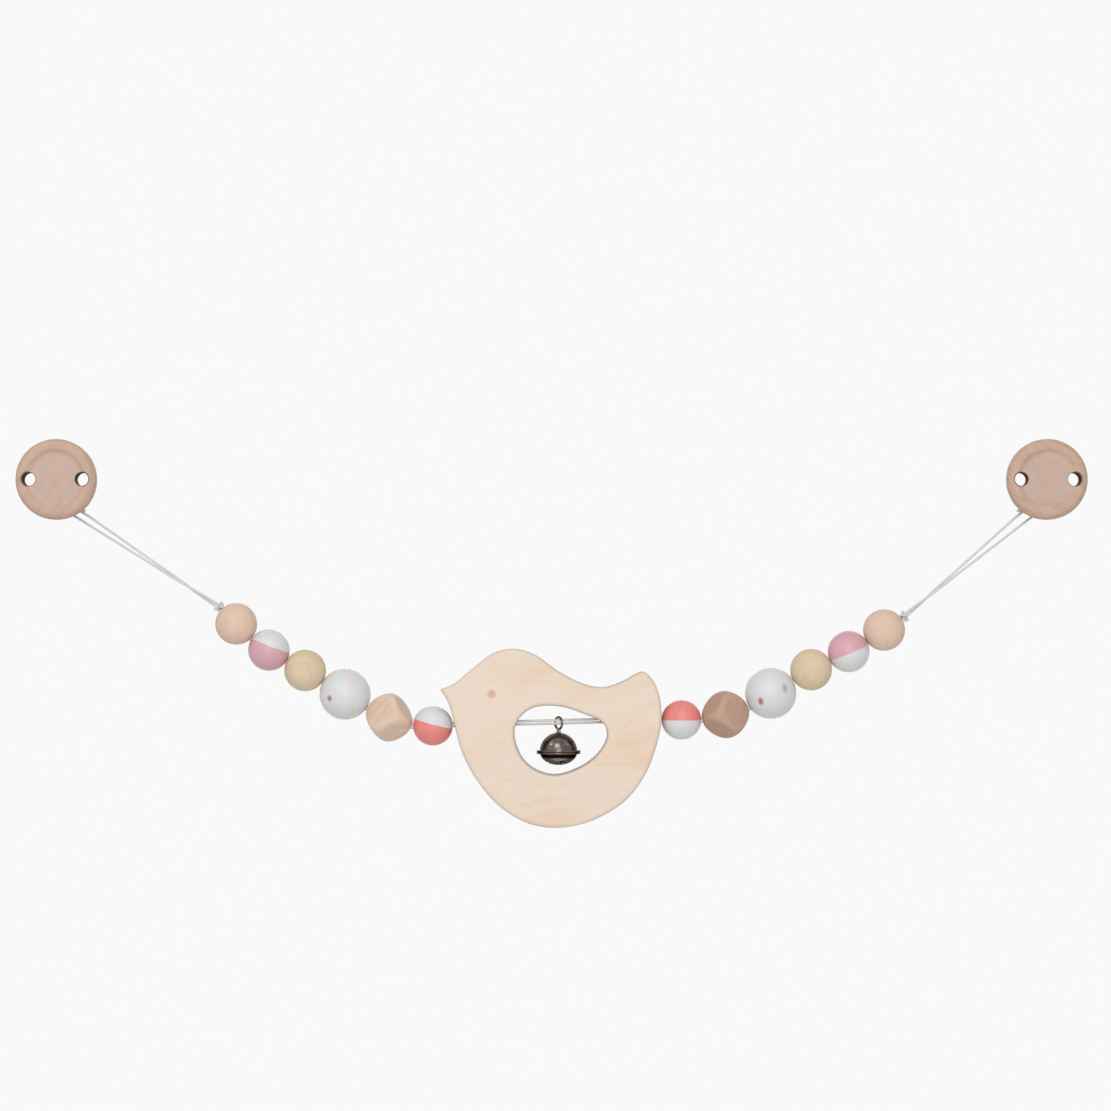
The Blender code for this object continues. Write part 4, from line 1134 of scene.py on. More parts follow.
def bird_finish():
    """Pale board with wavy growth lines, warm streaks and a soft eye. The sanded edge is browner,
    partly end grain and partly painted shade.
    """
    bird = settings("bird")
    finish = Finish("bird_maple", roughness=0.5)
    place = finish.place()
    lie = {"turn": (0, math.radians(14.0), 0), "shift": (0, 40.0, 0)}
    _, across, up = finish.parts(finish.place(**lie))
    sway = finish.grain((0.022, 0.06, 0.05), 3.0, 0.55, **lie)
    ring = ((up + sway * 34.0 + across * 0.15) / 6.5).fraction()
    line = finish.step(ring, 0.72, 0.98) * (1 - finish.step(ring, 0.985, 1.0))
    cloud = finish.grain((0.02, 0.07, 0.075), **lie)
    patch = finish.grain((0.03, 0.1, 0.1), 1.0, **lie)
    fibre = finish.grain((0.16, 2.6, 2.6), 3.0, 0.6, **lie)
    ray = finish.grain((0.3, 1.6, 4.0), 1.0, **lie)
    tint = finish.blend(finish.step(cloud, 0.42, 0.68) * 0.75, bird.maple, bird.streak)
    tint = finish.blend(line * finish.step(patch, 0.40, 0.62) * 0.36, tint, bird.line)
    tint = finish.blend(finish.step(fibre, 0.4, 0.8) * 0.20, tint, bird.line)
    tint = finish.blend(finish.step(ray, 0.66, 0.74) * 0.18, tint, times(bird.line, 0.9))
    _, depth, _ = finish.parts(place)
    # The edge is browner: partly sanded end grain, partly painted shade where the board rounds off
    side = finish.step(abs(depth), bird.thick / 2 / MM - 0.35, (bird.thick / 2 - bird.edge) / MM)
    tint = finish.blend(side * 0.85, tint, bird.wall)
    flat = finish.vector("MULTIPLY", place, (1, 0, 1))
    away = finish.distance(flat, BIRD_EYE) + (finish.noise(place, 1.1) - 0.5) * 0.5
    radius = bird.eye_radius / MM
    eye = finish.step(away, radius * 1.45, radius * 0.55)
    tint = finish.blend(eye * 0.9, tint, bird.eye)
    return finish.made(tint, 0.44 + fibre * 0.14 + side * 0.08, fibre * (1 + side), 0.05)


# Bell

# The slots: their width, how far they reach from the pole, the diameter of their round ends, and
# how far the shapes that cut them stand out below the shell
SLOT_WIDTH = 1.1 * MM
SLOT_REACH = 5.2 * MM
SLOT_END = 2.7 * MM
SLOT_CLEAR = 1.0 * MM
# The eye: its wire, its inner radius, its turn, the distance between its legs, how far they spread
# inside the shell, the hole for them, and how far below the cord the shell's top hangs
EYE_WIRE = 1.1 * MM
EYE_INNER = 2.1 * MM
EYE_TURN = math.radians(36.0)
EYE_LEGS = 1.3 * MM
EYE_SPREAD = 1.0 * MM
EYE_HOLE = 1.5 * MM
BELL_DROP = 4.7 * MM
# The gap between the rims, and the rounding where a rim meets its shell
BELL_SEAM = 0.06 * MM
RIM_FILLET = 0.15 * MM
PELLET = 4.6 * MM
# Segments round the shells, and steps from their pole to their rim
SHELL_SEGMENTS = 96
SHELL_STEPS = 20
# How the nickel tints what it mirrors at a flat angle
BELL_EDGE_TINT = (0.55, 0.50, 0.46)


def shell_shape(height, hole):
    """A pressed half shell with a rolled rim, turned with its pole along +X."""
    bell = settings("bell")
    gap = BELL_SEAM / 2
    rim_top = gap + bell.rim_thick
    skins = []
    for inset, low in ((0, rim_top), (bell.wall, gap)):
        reach = (height - inset, bell.radius - inset)
        curve = oval((0, 0), reach, math.asin(hole / reach[1]), RIGHT, SHELL_STEPS)
        skins.append([(max(along, low), radius) for along, radius in curve])
    outer, inner = skins
    half = bell.rim_thick / 2
    roll = oval((gap + half, bell.rim - half), (half, half), 0, math.pi, 6)
    profile = outer + [(rim_top, bell.radius + RIM_FILLET)] + roll + inner[::-1]
    return turned(profile, SHELL_SEGMENTS, bool(hole))


def slot_cutters():
    """Two crossing slots with round ends."""
    bell = settings("bell")
    deep, high = -(bell.bottom + SLOT_CLEAR), -bell.bottom / 2
    half = SLOT_WIDTH / 2
    outline = ((-half, deep), (half, deep), (half, high), (-half, high))
    cutters = []
    for turn in (0, RIGHT):
        cutters.append(moved(prism(outline, -SLOT_REACH, SLOT_REACH),
                             Matrix.Rotation(turn, 4, "Z")))
        for way in (-1, 1):
            x, y = way * SLOT_REACH * math.cos(turn), way * SLOT_REACH * math.sin(turn)
            cutters.append(rod(SLOT_END / 2, (x, y, deep), (x, y, high), 28))
    return cutters


def bell_finish():
    """Browned old nickel with grime, painted reflections, and painted shade at and below the rim.
    """
    bell = settings("bell")
    finish = Finish("bell_nickel", roughness=0.2, metallic=1.0)
    finish.shader.inputs["Specular Tint"].default_value = (*BELL_EDGE_TINT, 1.0)
    place = finish.place()
    across, deep, up = finish.parts(place)
    # The inside of the shells lies within the middle of their wall
    middle = (bell.radius - bell.wall / 2) / MM
    crown = up / ((bell.top - bell.wall / 2) / MM)
    bowl = up / ((bell.wall / 2 - bell.bottom) / MM)
    shell = finish.node("ShaderNodeCombineXYZ", inputs={
        0: across / middle, 1: deep / middle, 2: crown.maths("MAXIMUM", crown, bowl)})
    inside = finish.step(finish.length(shell), 1.0, 0.98)
    smoke = finish.noise(place, 0.3, distortion=0.6)
    grime = finish.noise(place, 1.3, detail=3.0)
    # Painted reflections: grey patches of nickel round the rim and on the upper shell
    painted_reflection = finish.step(smoke, 0.46, 0.56) * finish.step(abs(up - 1.6), 5.0, 3.0)
    tint = finish.blend(painted_reflection, bell.brown, bell.nickel)
    # Painted reflection: the bottom of the lower shell is paler
    tint = finish.blend(finish.step(up, -2.4, -3.4) * 0.8, tint, times(bell.nickel, 4.2))
    # Painted shade: a darker band along the rim
    tint = finish.blend(finish.step(abs(up), 1.3, 0.9) * 0.8, tint, times(bell.brown, 0.8))
    # Painted shadow: a black band just below the rim
    painted_rim_shadow = finish.step(abs(up + 1.4 + smoke * 0.6), 1.0, 0.6)
    tint = finish.blend(painted_rim_shadow, tint, times(bell.tarnish_and_shade, 0.6))
    tint = finish.blend(finish.step(grime, 0.56, 0.72) * 0.5, tint, bell.tarnish_and_shade)
    return finish.made(finish.blend(inside, tint, times(bell.tarnish_and_shade, 0.5)),
                       0.14 + smoke * 0.14 + finish.step(grime, 0.55, 0.8) * 0.15,
                       finish.noise(place, 0.6, detail=1.0), 0.05)


def wire_finish(name, tint, roughness):
    """Drawn wire and turned steel, with fine lines and a little dulling."""
    finish = Finish(name, roughness=roughness, metallic=1.0)
    dull = finish.noise(finish.place(), 0.8, detail=3.0)
    worn = finish.step(dull, 0.4, 0.75) * 0.5
    return finish.made(finish.blend(worn, tint, times(tint, 0.55)),
                       (roughness - 0.06) + dull * 0.16, finish.grain((1.0, 6.0, 6.0)), 0.02)


def eye_route():
    """A wire ring round the cord, with two legs that spread inside the shell."""
    cord = settings("cord")
    wire = EYE_WIRE / 2
    ring = EYE_INNER + wire
    middle = (cord.spacing + cord.diameter) / 2 + TOUCH_GAP - EYE_INNER
    half = EYE_LEGS / 2
    neck = math.asin(half / ring)
    inside = -(BELL_DROP + settings("bell").wall + TOUCH_GAP + wire)
    legs = [(half, -BELL_DROP), (half, inside), (half + EYE_SPREAD, inside - wire)]
    run = legs[::-1] + oval((0, middle), (ring, ring), neck - RIGHT, 3 * RIGHT - neck, 64)
    run += [(-x, z) for x, z in legs]
    across = Vector((-math.sin(EYE_TURN), math.cos(EYE_TURN), 0))
    return [across * x + Vector((0, 0, z)) for x, z in run]


# Clips. In a clip's frame X is across, Y is to the back and Z is up, from the middle of the
# disc's back face

# Steps from the floor of the dish to its crest
DISH_STEPS = 12
# How the grain is turned and shifted in each disc. The distance between its rings in millimetres,
# how many flecks it has, and how strong a figure
DISC_LIE = {"left": ((0.1, 0.9, 0.2), (4.0, 13.0, 2.0)),
            "right": ((0.2, -0.5, 0.1), (31.0, -8.0, 5.0))}
DISC_FIGURE = (3.2, 0.8, 1.5)
# The mouths of the disc's holes: how far they are softened, how deep the dish is at a hole
# as a share of its depth, and how far the front is cleared beside it in softened widths
VENT_SOFT = 0.35 * MM
VENT_DEPTH = 0.62
VENT_CLEAR = 1.6
# How far a cutting shape stands out of what it cuts
CUT_CLEAR = 1.0 * MM
# The plate and its two ears
PLATE_THICK = 1.0 * MM
PLATE_WIDE = 13.6 * MM
PLATE_TOP = 14.0 * MM
PLATE_SOFT = 0.14 * MM
EAR_THICK = 1.0 * MM
EAR_INSET = 0.1 * MM
EAR_ROOT = 8.0 * MM
EAR_TIP = 2.6 * MM
EAR_SOFT = 0.12 * MM
PLATE_BACK = TOUCH_GAP + PLATE_THICK
# The screws, from the clip's middle, and the cross in their heads
SCREW_SEAT = PLATE_BACK + TOUCH_GAP
SCREW_OFFSET = 3.6 * MM
SCREW_HEIGHT = 1.2 * MM
SCREW_HEAD = 1.9 * MM
SCREW_HEAD_HEIGHT = 0.8 * MM
SCREW_SHANK = 0.9 * MM
SCREW_LONG = 3.6 * MM
CROSS_TURN = 0.4
CROSS_HALF = 0.17 * MM
CROSS_REACH = 1.05 * MM
# The pin behind the plate, and its hole in the ears
PIN_RADIUS = 1.2 * MM
PIN_HEAD = 2.0 * MM
PIN_HEAD_LONG = 0.8 * MM
PIN_STANDOFF = 5.0 * MM
PIN_PLACE = (PLATE_BACK + PIN_STANDOFF, 9.0 * MM)
PIN_HOLE = 1.4 * MM
# The lever, from the pin
LEVER_THICK = 0.9 * MM
LEVER_ARM = 13.0 * MM
LEVER_TAB = 3.0 * MM
LEVER_KICK = 1.6 * MM
LEVER_SOFT = 0.16 * MM
# The bend into the lever's tab: back from its arm and up from the arm's end, in millimetres
LEVER_BEND = ((0.0, 0.8), (0.16, 0.1), (0.45, -0.6))
LEVER_INNER = PIN_RADIUS + TOUCH_GAP
LEVER_HALF = PLATE_WIDE / 2 - EAR_INSET - EAR_THICK - TOUCH_GAP
# The lever's cheeks, and the pad's teeth between them
CHEEK_THICK = 0.8 * MM
CHEEK_RADIUS = 3.0 * MM
CHEEK_SOFT = 0.1 * MM
TOOTH = 0.6 * MM
TEETH = 5
PAD_SOFT = 0.08 * MM
PAD_START = math.radians(-52.0)
PAD_END = math.radians(14.0)
# The bail, from the clip's middle, and the roll of the plate round its top bar
BAIL_WIRE = 2.6 * MM
BAIL_HALF = 12.4 * MM
BAIL_CORNER = 2.2 * MM
BAIL_TOP = -5.2 * MM
BAR_HEIGHT = -11.0 * MM
BAR_STANDOFF = 4.0 * MM
ROLL_RADIUS = BAIL_WIRE / 2 + TOUCH_GAP + PLATE_THICK / 2


def disc_shape():
    """The turned disc: a dished front, a rounded rim and two holes with softened edges."""
    clip = settings("clips")
    front = -clip.thick
    edge = clip.disc / 2 - clip.rim
    floor = front + clip.depth
    profile = [(floor, 0), (floor, clip.dish * 0.5), (floor, clip.dish * 0.9)]
    for step in range(DISH_STEPS + 1):
        part = step / DISH_STEPS
        ease = part * part * (3 - 2 * part)
        profile.append((front + clip.depth * (1 - ease),
                        clip.dish + (clip.crest - clip.dish) * part))
    profile += oval((front + clip.rim, edge), (-clip.rim, clip.rim), 0, RIGHT, 12)
    profile += oval((-clip.rim, edge), (clip.rim, clip.rim), RIGHT, 0, 10)[1:]
    profile += [(0, edge - 0.4 * MM), (0, clip.dish), (0, 0)]
    radius, soft = clip.vent / 2, VENT_SOFT
    ends = oval((soft, radius + soft), (-soft, -soft), RIGHT, 0, 4)
    mouth = front + clip.depth * VENT_DEPTH
    out = radius + soft * VENT_CLEAR
    spool = [(front - CUT_CLEAR, 0), (front - CUT_CLEAR, out), (mouth - soft, out)]
    spool += [(mouth + soft - along, reach) for along, reach in ends[::-1]]
    spool += [(-along, reach) for along, reach in ends]
    spool += [(CUT_CLEAR, radius + soft), (CUT_CLEAR, 0)]
    vents = [moved(turned(spool, 48),
                   Matrix.Translation((way * clip.vent_offset, 0, 0)) @ TO_BACK)
             for way in (-1, 1)]
    return cut(moved(turned(profile, 128), TO_BACK), vents)


def side_plates(outline, outside, thick, width):
    """A plate on each side with softened edges, from their outline and their outer face."""
    plates = []
    for way in (-1, 1):
        outer = way * outside
        inner = outer - way * thick
        plates.append(softened(prism(outline, *sorted((inner, outer))), width))
    return plates


def plate_shape():
    """The pressed plate: flat behind the disc, two ears for the pin, and a roll round the bail."""
    middle = TOUCH_GAP + PLATE_THICK / 2
    roll = arc((BAR_STANDOFF, BAIL_TOP), ROLL_RADIUS, math.radians(-10), math.radians(-265), 30)
    step_top = SCREW_HEIGHT - SCREW_HEAD - TOUCH_GAP
    step_end = (BAR_STANDOFF - ROLL_RADIUS, BAIL_TOP + BAIL_WIRE / 2)
    line = [(middle, PLATE_TOP), (middle, PIN_PLACE[1]), (middle, step_top), step_end] + roll
    half = PLATE_WIDE / 2
    sheet = softened(prism(sheet_outline(line, PLATE_THICK), -half, half), PLATE_SOFT)
    ear = [(middle, PIN_PLACE[1] - EAR_ROOT / 2)]
    ear += arc(PIN_PLACE, -EAR_TIP, math.radians(70), math.radians(-70), 24)
    ear += [(middle, PLATE_TOP - PLATE_THICK)]
    ears = side_plates(ear, half - EAR_INSET, EAR_THICK, EAR_SOFT)
    holes = [rod(PIN_HOLE, (-PLATE_WIDE, *PIN_PLACE), (PLATE_WIDE, *PIN_PLACE), 32)]
    for x in (-SCREW_OFFSET, SCREW_OFFSET):
        holes.append(rod(SCREW_SHANK + TOUCH_GAP, (x, -CUT_CLEAR, SCREW_HEIGHT),
                         (x, PLATE_BACK + CUT_CLEAR, SCREW_HEIGHT), 24))
    return cut(sheet, holes, ears)


def screw_shape():
    """A round-headed screw with a cross recess. Its head's seat is at the origin."""
    high, wide = SCREW_HEAD_HEIGHT, CROSS_HALF
    profile = [(-SCREW_LONG, 0), (-SCREW_LONG + SCREW_SHANK, SCREW_SHANK), (0, SCREW_SHANK),
               (0, SCREW_HEAD)]
    profile += oval((0.25 * high, 0), (0.75 * high, SCREW_HEAD), RIGHT, 0, 8)[1:]
    deep, top = high * 0.45, high * 2
    outline = ((deep, -wide), (top, -wide), (top, wide), (deep, wide))
    bars = [moved(prism(outline, -CROSS_REACH, CROSS_REACH), Matrix.Rotation(turn, 4, "Y"))
            for turn in (CROSS_TURN, CROSS_TURN + RIGHT)]
    return cut(moved(turned(profile, 40), TO_BACK), bars)


def pin_shape():
    """A pin with a domed head on each end. X runs along it."""
    half = PLATE_WIDE / 2 - EAR_INSET + TOUCH_GAP
    head = oval((half + 0.35 * PIN_HEAD_LONG, 0), (0.65 * PIN_HEAD_LONG, PIN_HEAD), RIGHT, 0, 6)
    side = [(half, PIN_RADIUS), (half, PIN_HEAD)] + head
    return turned(mirrored(side) + side, 36)


def lever_shape():
    """The lever wraps over the pin and hangs down behind the plate. Its origin is on the pin."""
    middle = LEVER_INNER + LEVER_THICK / 2
    line = arc((0, 0), middle, PAD_END + math.radians(22), math.pi, 22)
    line.append((middle, -LEVER_ARM / 2))
    line += [(middle + back * MM, up * MM - LEVER_ARM) for back, up in LEVER_BEND]
    line.append((middle + LEVER_KICK, -LEVER_ARM - LEVER_TAB))
    sheet = prism(sheet_outline(line, LEVER_THICK), -LEVER_HALF, LEVER_HALF)
    cheek = arc((0, 0), CHEEK_RADIUS, math.radians(-60), math.radians(150), 30)
    cheek += [(middle, 0), (middle, -LEVER_ARM / 2)]
    cheeks = side_plates(cheek, LEVER_HALF - EAR_INSET, CHEEK_THICK, CHEEK_SOFT)
    hole = rod(LEVER_INNER - 0.1 * MM, (-PLATE_WIDE, 0, 0), (PLATE_WIDE, 0, 0), 36)
    return cut(softened(sheet, LEVER_SOFT, 3), [hole], cheeks)


def pad_shape():
    """The toothed plastic pad on the pin, between the lever's cheeks."""
    tip = PIN_STANDOFF - TOUCH_GAP
    outline = []
    for tooth in range(TEETH):
        for part, radius in ((0.15, tip - TOOTH), (0.42, tip), (0.58, tip)):
            turn = PAD_START + (PAD_END - PAD_START) * (tooth + part) / TEETH
            outline.append((-radius * math.cos(turn), radius * math.sin(turn)))
    outline += arc((0, 0), LEVER_INNER, PAD_END, PAD_START, 14)
    half = LEVER_HALF - EAR_INSET - CHEEK_THICK - TOUCH_GAP
    return softened(prism(outline, -half, half), PAD_SOFT, limit=50.0)


def bail_shape():
    """A closed wire ring. Its top bar lies in the plate's roll, and the cord hangs on the lower."""
    flat = BAIL_HALF - BAIL_CORNER
    high, low = BAIL_TOP - BAIL_CORNER, BAR_HEIGHT + BAIL_CORNER
    run = []
    for corner, start in (((flat, high), 90), ((flat, low), 0), ((-flat, low), -90),
                          ((-flat, high), -180)):
        bend = oval(corner, (BAIL_CORNER, BAIL_CORNER), math.radians(start),
                    math.radians(start - 90), 12)
        run += [Vector((x, BAR_STANDOFF, z)) for x, z in bend]
    return swept(bmesh.new(), spread_evenly(run, 220, True), round_ring(BAIL_WIRE, 24),
                 closed=True)


def steel_finish():
    """Pressed and nickelled sheet: faint rolling lines, dull patches and a little fine scuffing."""
    steel = settings("clips").steel
    finish = Finish("pressed_steel", roughness=0.3, metallic=1.0)
    lines = finish.grain((9.0, 3.0, 0.25))
    dull = finish.noise(finish.place(), 0.35, detail=3.0)
    scuff = finish.grain((0.6, 8.0, 8.0), 1.0, turn=(0.3, 0.2, 0.6), shift=(5, 2, 1))
    tint = finish.blend(finish.step(dull, 0.4, 0.75) * 0.4, steel, times(steel, 0.7))
    tint = finish.blend(finish.step(scuff, 0.68, 0.75) * 0.3, tint, times(steel, 0.5))
    return finish.made(tint, 0.24 + dull * 0.16 + lines * 0.06, lines, 0.02)


def plastic_finish():
    """Moulded plastic with a fine sparked texture."""
    plastic = settings("clips").plastic
    finish = Finish("jaw_plastic", roughness=0.45)
    place = finish.place()
    spark = finish.noise(place, 4.0, detail=3.0)
    flow = finish.noise(place, 0.25, detail=1.0)
    tint = finish.blend(finish.step(flow, 0.3, 0.7) * 0.4, plastic, times(plastic, 0.88))
    return finish.made(tint, 0.4 + spark * 0.15, spark, 0.03)


def clip_frame(side):
    """The middle of a disc's back face."""
    low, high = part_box(side + "_disc")
    return Vector(((low[0] + high[0]) / 2, high[1], (low[2] + high[2]) / 2))


def disc_finish(side):
    """Beech with a pinker dish. The two holes are darkened brown inside as painted shade."""
    clip = settings("clips")
    finish = wood_base(side + "_disc_beech")
    place = finish.place()
    tinted, fibre, specks = wood_colour(finish, clip.beech, *DISC_LIE[side], *DISC_FIGURE)
    flat = finish.vector("MULTIPLY", place, (1, 0, 1))
    cloud = finish.noise(place, 0.16)
    dish = finish.step(finish.length(flat) + cloud * 2.0, clip.crest / MM, clip.dish / MM)
    tinted = finish.blend(dish * (0.3 + cloud * 0.5), tinted, clip.dish_beech)
    near = finish.distance(finish.vector("ABSOLUTE", flat), (clip.vent_offset / MM, 0, 0))
    hole = clip.vent / 2 / MM
    # Painted shade: the walls of the two holes are darker brown, and rougher
    inside = finish.step(near, hole + 0.4, hole + 0.05)
    tinted = finish.blend(inside * 0.9, tinted, HOLE_SHADE)
    return finish_wood(finish, tinted, fibre, specks, inside * 0.4)


# Stage

# Each lamp: where it is, its size, and its power in watts. All of them aim at the same point
LAMP_AIM = Vector((0, 0, -0.06))
LAMPS = (
    ("key_light", (-0.1, -1.15, 0.8), (0.6, 0.6), 5.0),
    ("front_light", (0.05, -1.7, 0.1), (0.8, 0.8), 8.0),
    ("side_light", (-0.8, -0.4, 0.65), (0.16, 0.16), 0.8),
    ("back_light", (0.1, 1.7, 0.3), (0.9, 0.9), 5.0),
)
# How brightly the paper glows for the camera alone, so that it looks even
PAPER_GLOW = 0.22
# The sheet's profile: down from its face, and out from its middle, before it is drawn out sideways
PAPER_PROFILE = ((0, 0), (0, 0.40), (0, 0.455), (-0.001, 0.46), (-0.002, 0.455), (-0.002, 0))
PAPER_STRETCH = 1.25


def make_camera():
    """A camera level with the toy's lower part, shifted to frame it."""
    stage = settings("stage")
    data = bpy.data.cameras.new("camera")
    data.lens = data.sensor_width * stage.camera_away / stage.view_wide
    data.shift_x = stage.middle_right / stage.view_wide
    data.shift_y = (stage.camera_drop - stage.middle_drop) / stage.view_wide
    camera = bpy.data.objects.new("camera", data)
    camera.location = (0, -stage.camera_away, -stage.camera_drop)
    camera.rotation_euler = (RIGHT, 0, 0)
    bpy.context.scene.collection.objects.link(camera)
    bpy.context.scene.camera = camera


def make_floor():
    """A plain round sheet of paper with a soft edge, below the camera's view."""
    stage = settings("stage")
    bm = moved(turned(PAPER_PROFILE, 96), Matrix.Diagonal((PAPER_STRETCH, 1, 1, 1)) @ TO_UP)
    floor = bpy.data.objects.new("paper_floor", mesh_from("paper_floor", bm))
    floor.location = (0, 0, -stage.floor_drop)
    finish = Finish("floor_paper", roughness=0.9)
    grain = finish.noise(finish.place(), 0.8, detail=3.0)
    finish.feed("Base Color", finish.blend(grain * 0.06, stage.paper, times(stage.paper, 0.9)))
    finish.relief(grain, 0.05)
    seen = finish.node("ShaderNodeLightPath", output="Is Camera Ray")
    finish.shader.inputs["Emission Strength"].default_value = PAPER_GLOW
    finish.feed("Emission Color", finish.blend(seen, (0.0, 0.0, 0.0), stage.paper))
    floor.data.materials.append(finish.material)
    bpy.context.scene.collection.objects.link(floor)


def make_light():
    """A pale background for the camera and for reflections, and an even fill for the rest."""
    stage = settings("stage")
    world = bpy.data.worlds.new("studio")
    bpy.context.scene.world = world
    world.use_nodes = True
    nodes = Nodes(world.node_tree)
    seen = nodes.node("ShaderNodeLightPath", output="Is Camera Ray")
    for name in ("Is Glossy Ray", "Is Transmission Ray"):
        seen = seen.maths("MAXIMUM", seen, nodes.node("ShaderNodeLightPath", output=name))
    strength = seen * (1.0 - stage.ambient) + stage.ambient
    background = nodes.tree.nodes["Background"]
    background.inputs["Color"].default_value = (*stage.paper, 1.0)
    nodes.tree.links.new(strength.socket, background.inputs["Strength"])
    for name, place, size, power in LAMPS:
        data = bpy.data.lights.new(name, "AREA")
        data.shape = "RECTANGLE"
        data.size, data.size_y = size
        data.energy = power
        lamp = bpy.data.objects.new(name, data)
        lamp.location = place
        aim = LAMP_AIM - Vector(place)
        lamp.rotation_euler = aim.to_track_quat("-Z", "Y").to_euler()
        bpy.context.scene.collection.objects.link(lamp)
    bpy.context.scene.view_settings.view_transform = "Standard"


# Operators

class PRAMCHAIN_OT_stage(bpy.types.Operator):
    """Set up the floor, the light and the camera"""
    bl_idname = "pram_chain.stage"
    bl_label = "Stage"

    def execute(self, context):
        make_camera()
        make_floor()
        make_light()
        return {"FINISHED"}


class PRAMCHAIN_OT_cords(bpy.types.Operator):
    """Twist the two threaded strands, the loops on the clips and the knots"""
    bl_idname = "pram_chain.cords"
    bl_label = "Cords"

    def execute(self, context):
        cord = settings("cord")
        material = cord_finish()
        ring = plied_ring(cord.diameter, cord.groove)
        for word, way in (("upper", 1), ("lower", -1)):
            lay_cord(word + "_bead_cord", word + "_threaded_cord",
                     threaded_route(way * cord.spacing / 2), material, ring)
        for side in SIDES:
            out = bead_places(side)[-1]["out"]
            bm = swept(bmesh.new(), knot_route(side, out), ring, twist=cord.lay, closed=True)
            add_tails(bm, side, out, ring)
            knot = piece(side + "_tied_knot", bm, material, "string",
                         [side + "_cord_knot"], smooth=CORD_SMOOTH)
            lay_cord(side + "_loop_cord", side + "_cord_loop", smoothed(loop_route(side), 8),
                     material, ring, with_pieces=[knot])
        return {"FINISHED"}


class PRAMCHAIN_OT_beads(bpy.types.Operator):
    """Turn and paint the twelve beads"""
    bl_idname = "pram_chain.beads"
    bl_label = "Beads"

    def execute(self, context):
        for side in SIDES:
            for bead in bead_places(side):
                if bead["kind"] == "cube":
                    word, bm = "cube", cube_shape(side, bead["reach"])
                else:
                    word, bm = bead["kind"] + "_ball", ball_shape(bead["reach"], *BALL_FINENESS)
                material, slot = bead_finish(bead)
                at = Matrix.Translation(bead["centre"]) @ turn_of(bead).to_4x4()
                piece("%s_%s" % (side, word), bm, material, bead["node"], [bead["node"]], at,
                      smooth=50.0)
        return {"FINISHED"}


class PRAMCHAIN_OT_bird(bpy.types.Operator):
    """Cut the bird from its board"""
    bl_idname = "pram_chain.bird"
    bl_label = "Bird"

    def execute(self, context):
        at = Matrix.Translation(BIRD_PLACE)
        piece("bird_board", bird_shape(), bird_finish(), "bird", ["bird"], at,
              smooth=32.0)
        return {"FINISHED"}


class PRAMCHAIN_OT_bell(bpy.types.Operator):
    """Press the bell's shells and bend its wire eye"""
    bl_idname = "pram_chain.bell"
    bl_label = "Bell"

    def execute(self, context):
        bell = settings("bell")
        nickel = bell_finish()
        wire = wire_finish("bell_wire", bell.wire, roughness=0.2)
        seam = BELL_PLACE - Vector((0, 0, BELL_DROP + bell.top))
        at = Matrix.Translation(seam)
        upper = moved(shell_shape(bell.top, EYE_HOLE), TO_UP)
        piece("bell_top_shell", upper, nickel, "bell", ["bell_upper_shell"], at,
              smooth=40.0)
        lower = cut(moved(shell_shape(bell.bottom, 0), TO_DOWN), slot_cutters())
        moved(lower, Matrix.Rotation(bell.turn, 4, "Z"))
        piece("bell_bottom_shell", lower, nickel, "bell", ["bell_lower_shell"], at,
              smooth=32.0)
        eye = swept(bmesh.new(), spread_evenly(eye_route(), 120), round_ring(EYE_WIRE, 16),
                    round_ends=2)
        piece("bell_wire_eye", eye, wire, "bell", ["bell_eye"],
              Matrix.Translation(BELL_PLACE), smooth=60.0)
        radius = PELLET / 2
        rest = seam.z - bell.bottom + bell.wall + TOUCH_GAP + radius
        pellet = turned(oval((0, 0), (-radius, radius), 0, math.pi, 24), 32)
        piece("bell_steel_ball", pellet, wire, "pellet", ["bell_pellet"],
              Matrix.Translation((seam.x, 0, rest)), smooth=60.0)
        return {"FINISHED"}


class PRAMCHAIN_OT_discs(bpy.types.Operator):
    """Turn the two wooden discs"""
    bl_idname = "pram_chain.discs"
    bl_label = "Discs"

    def execute(self, context):
        for side in SIDES:
            piece(side + "_turned_disc", disc_shape(), disc_finish(side), "clips",
                  [side + "_disc"], Matrix.Translation(clip_frame(side)), smooth=40.0)
        return {"FINISHED"}


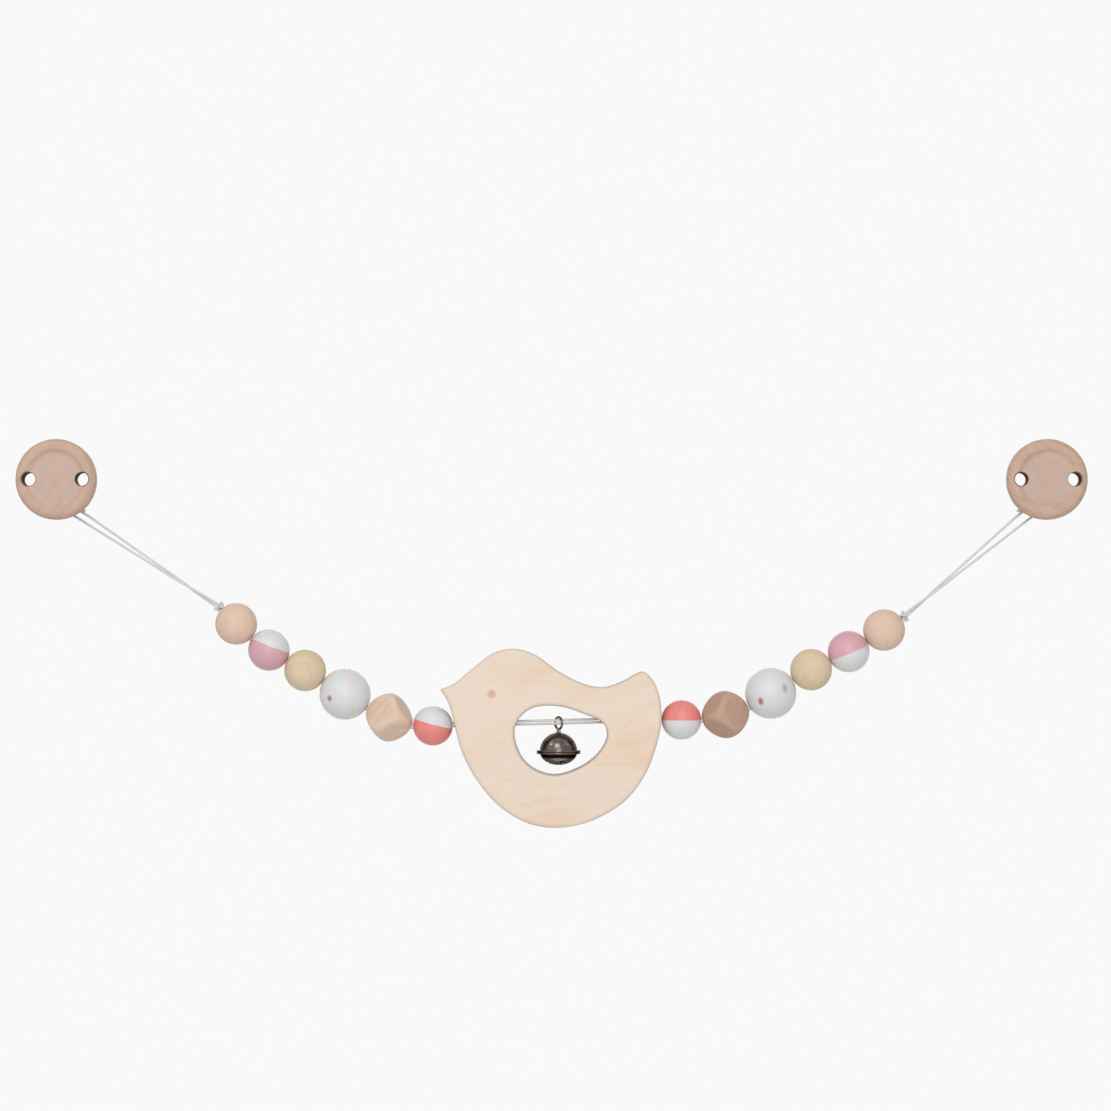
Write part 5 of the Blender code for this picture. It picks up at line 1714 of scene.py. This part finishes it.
class PRAMCHAIN_OT_clips(bpy.types.Operator):
    """Fit the plates, screws, pins, levers, jaw pads and bails behind the discs"""
    bl_idname = "pram_chain.clips"
    bl_label = "Clips"

    def execute(self, context):
        steel = steel_finish()
        wire = wire_finish("clip_wire", settings("clips").steel, roughness=0.25)
        plastic = plastic_finish()
        for side, way in SIDES.items():
            origin = clip_frame(side)
            at = Matrix.Translation(origin)
            pin = Matrix.Translation(origin + Vector((0, *PIN_PLACE)))
            piece(side + "_back_plate", plate_shape(), steel, "clips",
                  [side + "_clip_plate"], at, smooth=30.0)
            for label, place in (("outer", way), ("inner", -way)):
                seat = origin + Vector((place * SCREW_OFFSET, SCREW_SEAT, SCREW_HEIGHT))
                piece("%s_%s_cross_screw" % (side, label), screw_shape(), wire, "clips",
                      ["%s_%s_screw" % (side, label)], Matrix.Translation(seat), smooth=40.0)
            piece(side + "_riveted_pin", pin_shape(), wire, "clips",
                  [side + "_hinge_pin"], pin, smooth=40.0)
            piece(side + "_folded_lever", lever_shape(), steel, side + "_lever",
                  [side + "_lever"], pin, smooth=30.0)
            piece(side + "_toothed_pad", pad_shape(), plastic, side + "_lever",
                  [side + "_jaw_pad"], pin, smooth=30.0)
            piece(side + "_wire_bail", bail_shape(), wire, side + "_bail",
                  [side + "_bail"], at, smooth=60.0)
        return {"FINISHED"}


OPERATORS = (PRAMCHAIN_OT_stage, PRAMCHAIN_OT_cords, PRAMCHAIN_OT_beads, PRAMCHAIN_OT_bird,
             PRAMCHAIN_OT_bell, PRAMCHAIN_OT_discs, PRAMCHAIN_OT_clips)


class PRAMCHAIN_PT_panel(bpy.types.Panel):
    """Lists the steps that make the toy"""
    bl_idname = "PRAMCHAIN_PT_panel"
    bl_label = "Pram chain toy"
    bl_space_type = "VIEW_3D"
    bl_region_type = "UI"
    bl_category = "Pram chain"

    def draw(self, context):
        for operator in OPERATORS:
            self.layout.operator(operator.bl_idname)
        for name, group in SETTINGS.items():
            box = self.layout.box()
            box.label(text=group.__doc__)
            for key in group.__annotations__:
                box.prop(settings(name), key)


CLASSES = (*SETTINGS.values(), *OPERATORS, PRAMCHAIN_PT_panel)


def register():
    for cls in CLASSES:
        bpy.utils.register_class(cls)
    for name, group in SETTINGS.items():
        setattr(bpy.types.Scene, "pram_chain_" + name, PointerProperty(type=group))


def unregister():
    for name in SETTINGS:
        delattr(bpy.types.Scene, "pram_chain_" + name)
    for cls in reversed(CLASSES):
        bpy.utils.unregister_class(cls)


def main():
    register()
    for operator in OPERATORS:
        group, name = operator.bl_idname.split(".")
        getattr(getattr(bpy.ops, group), name)()


if __name__ == "__main__":
    main()
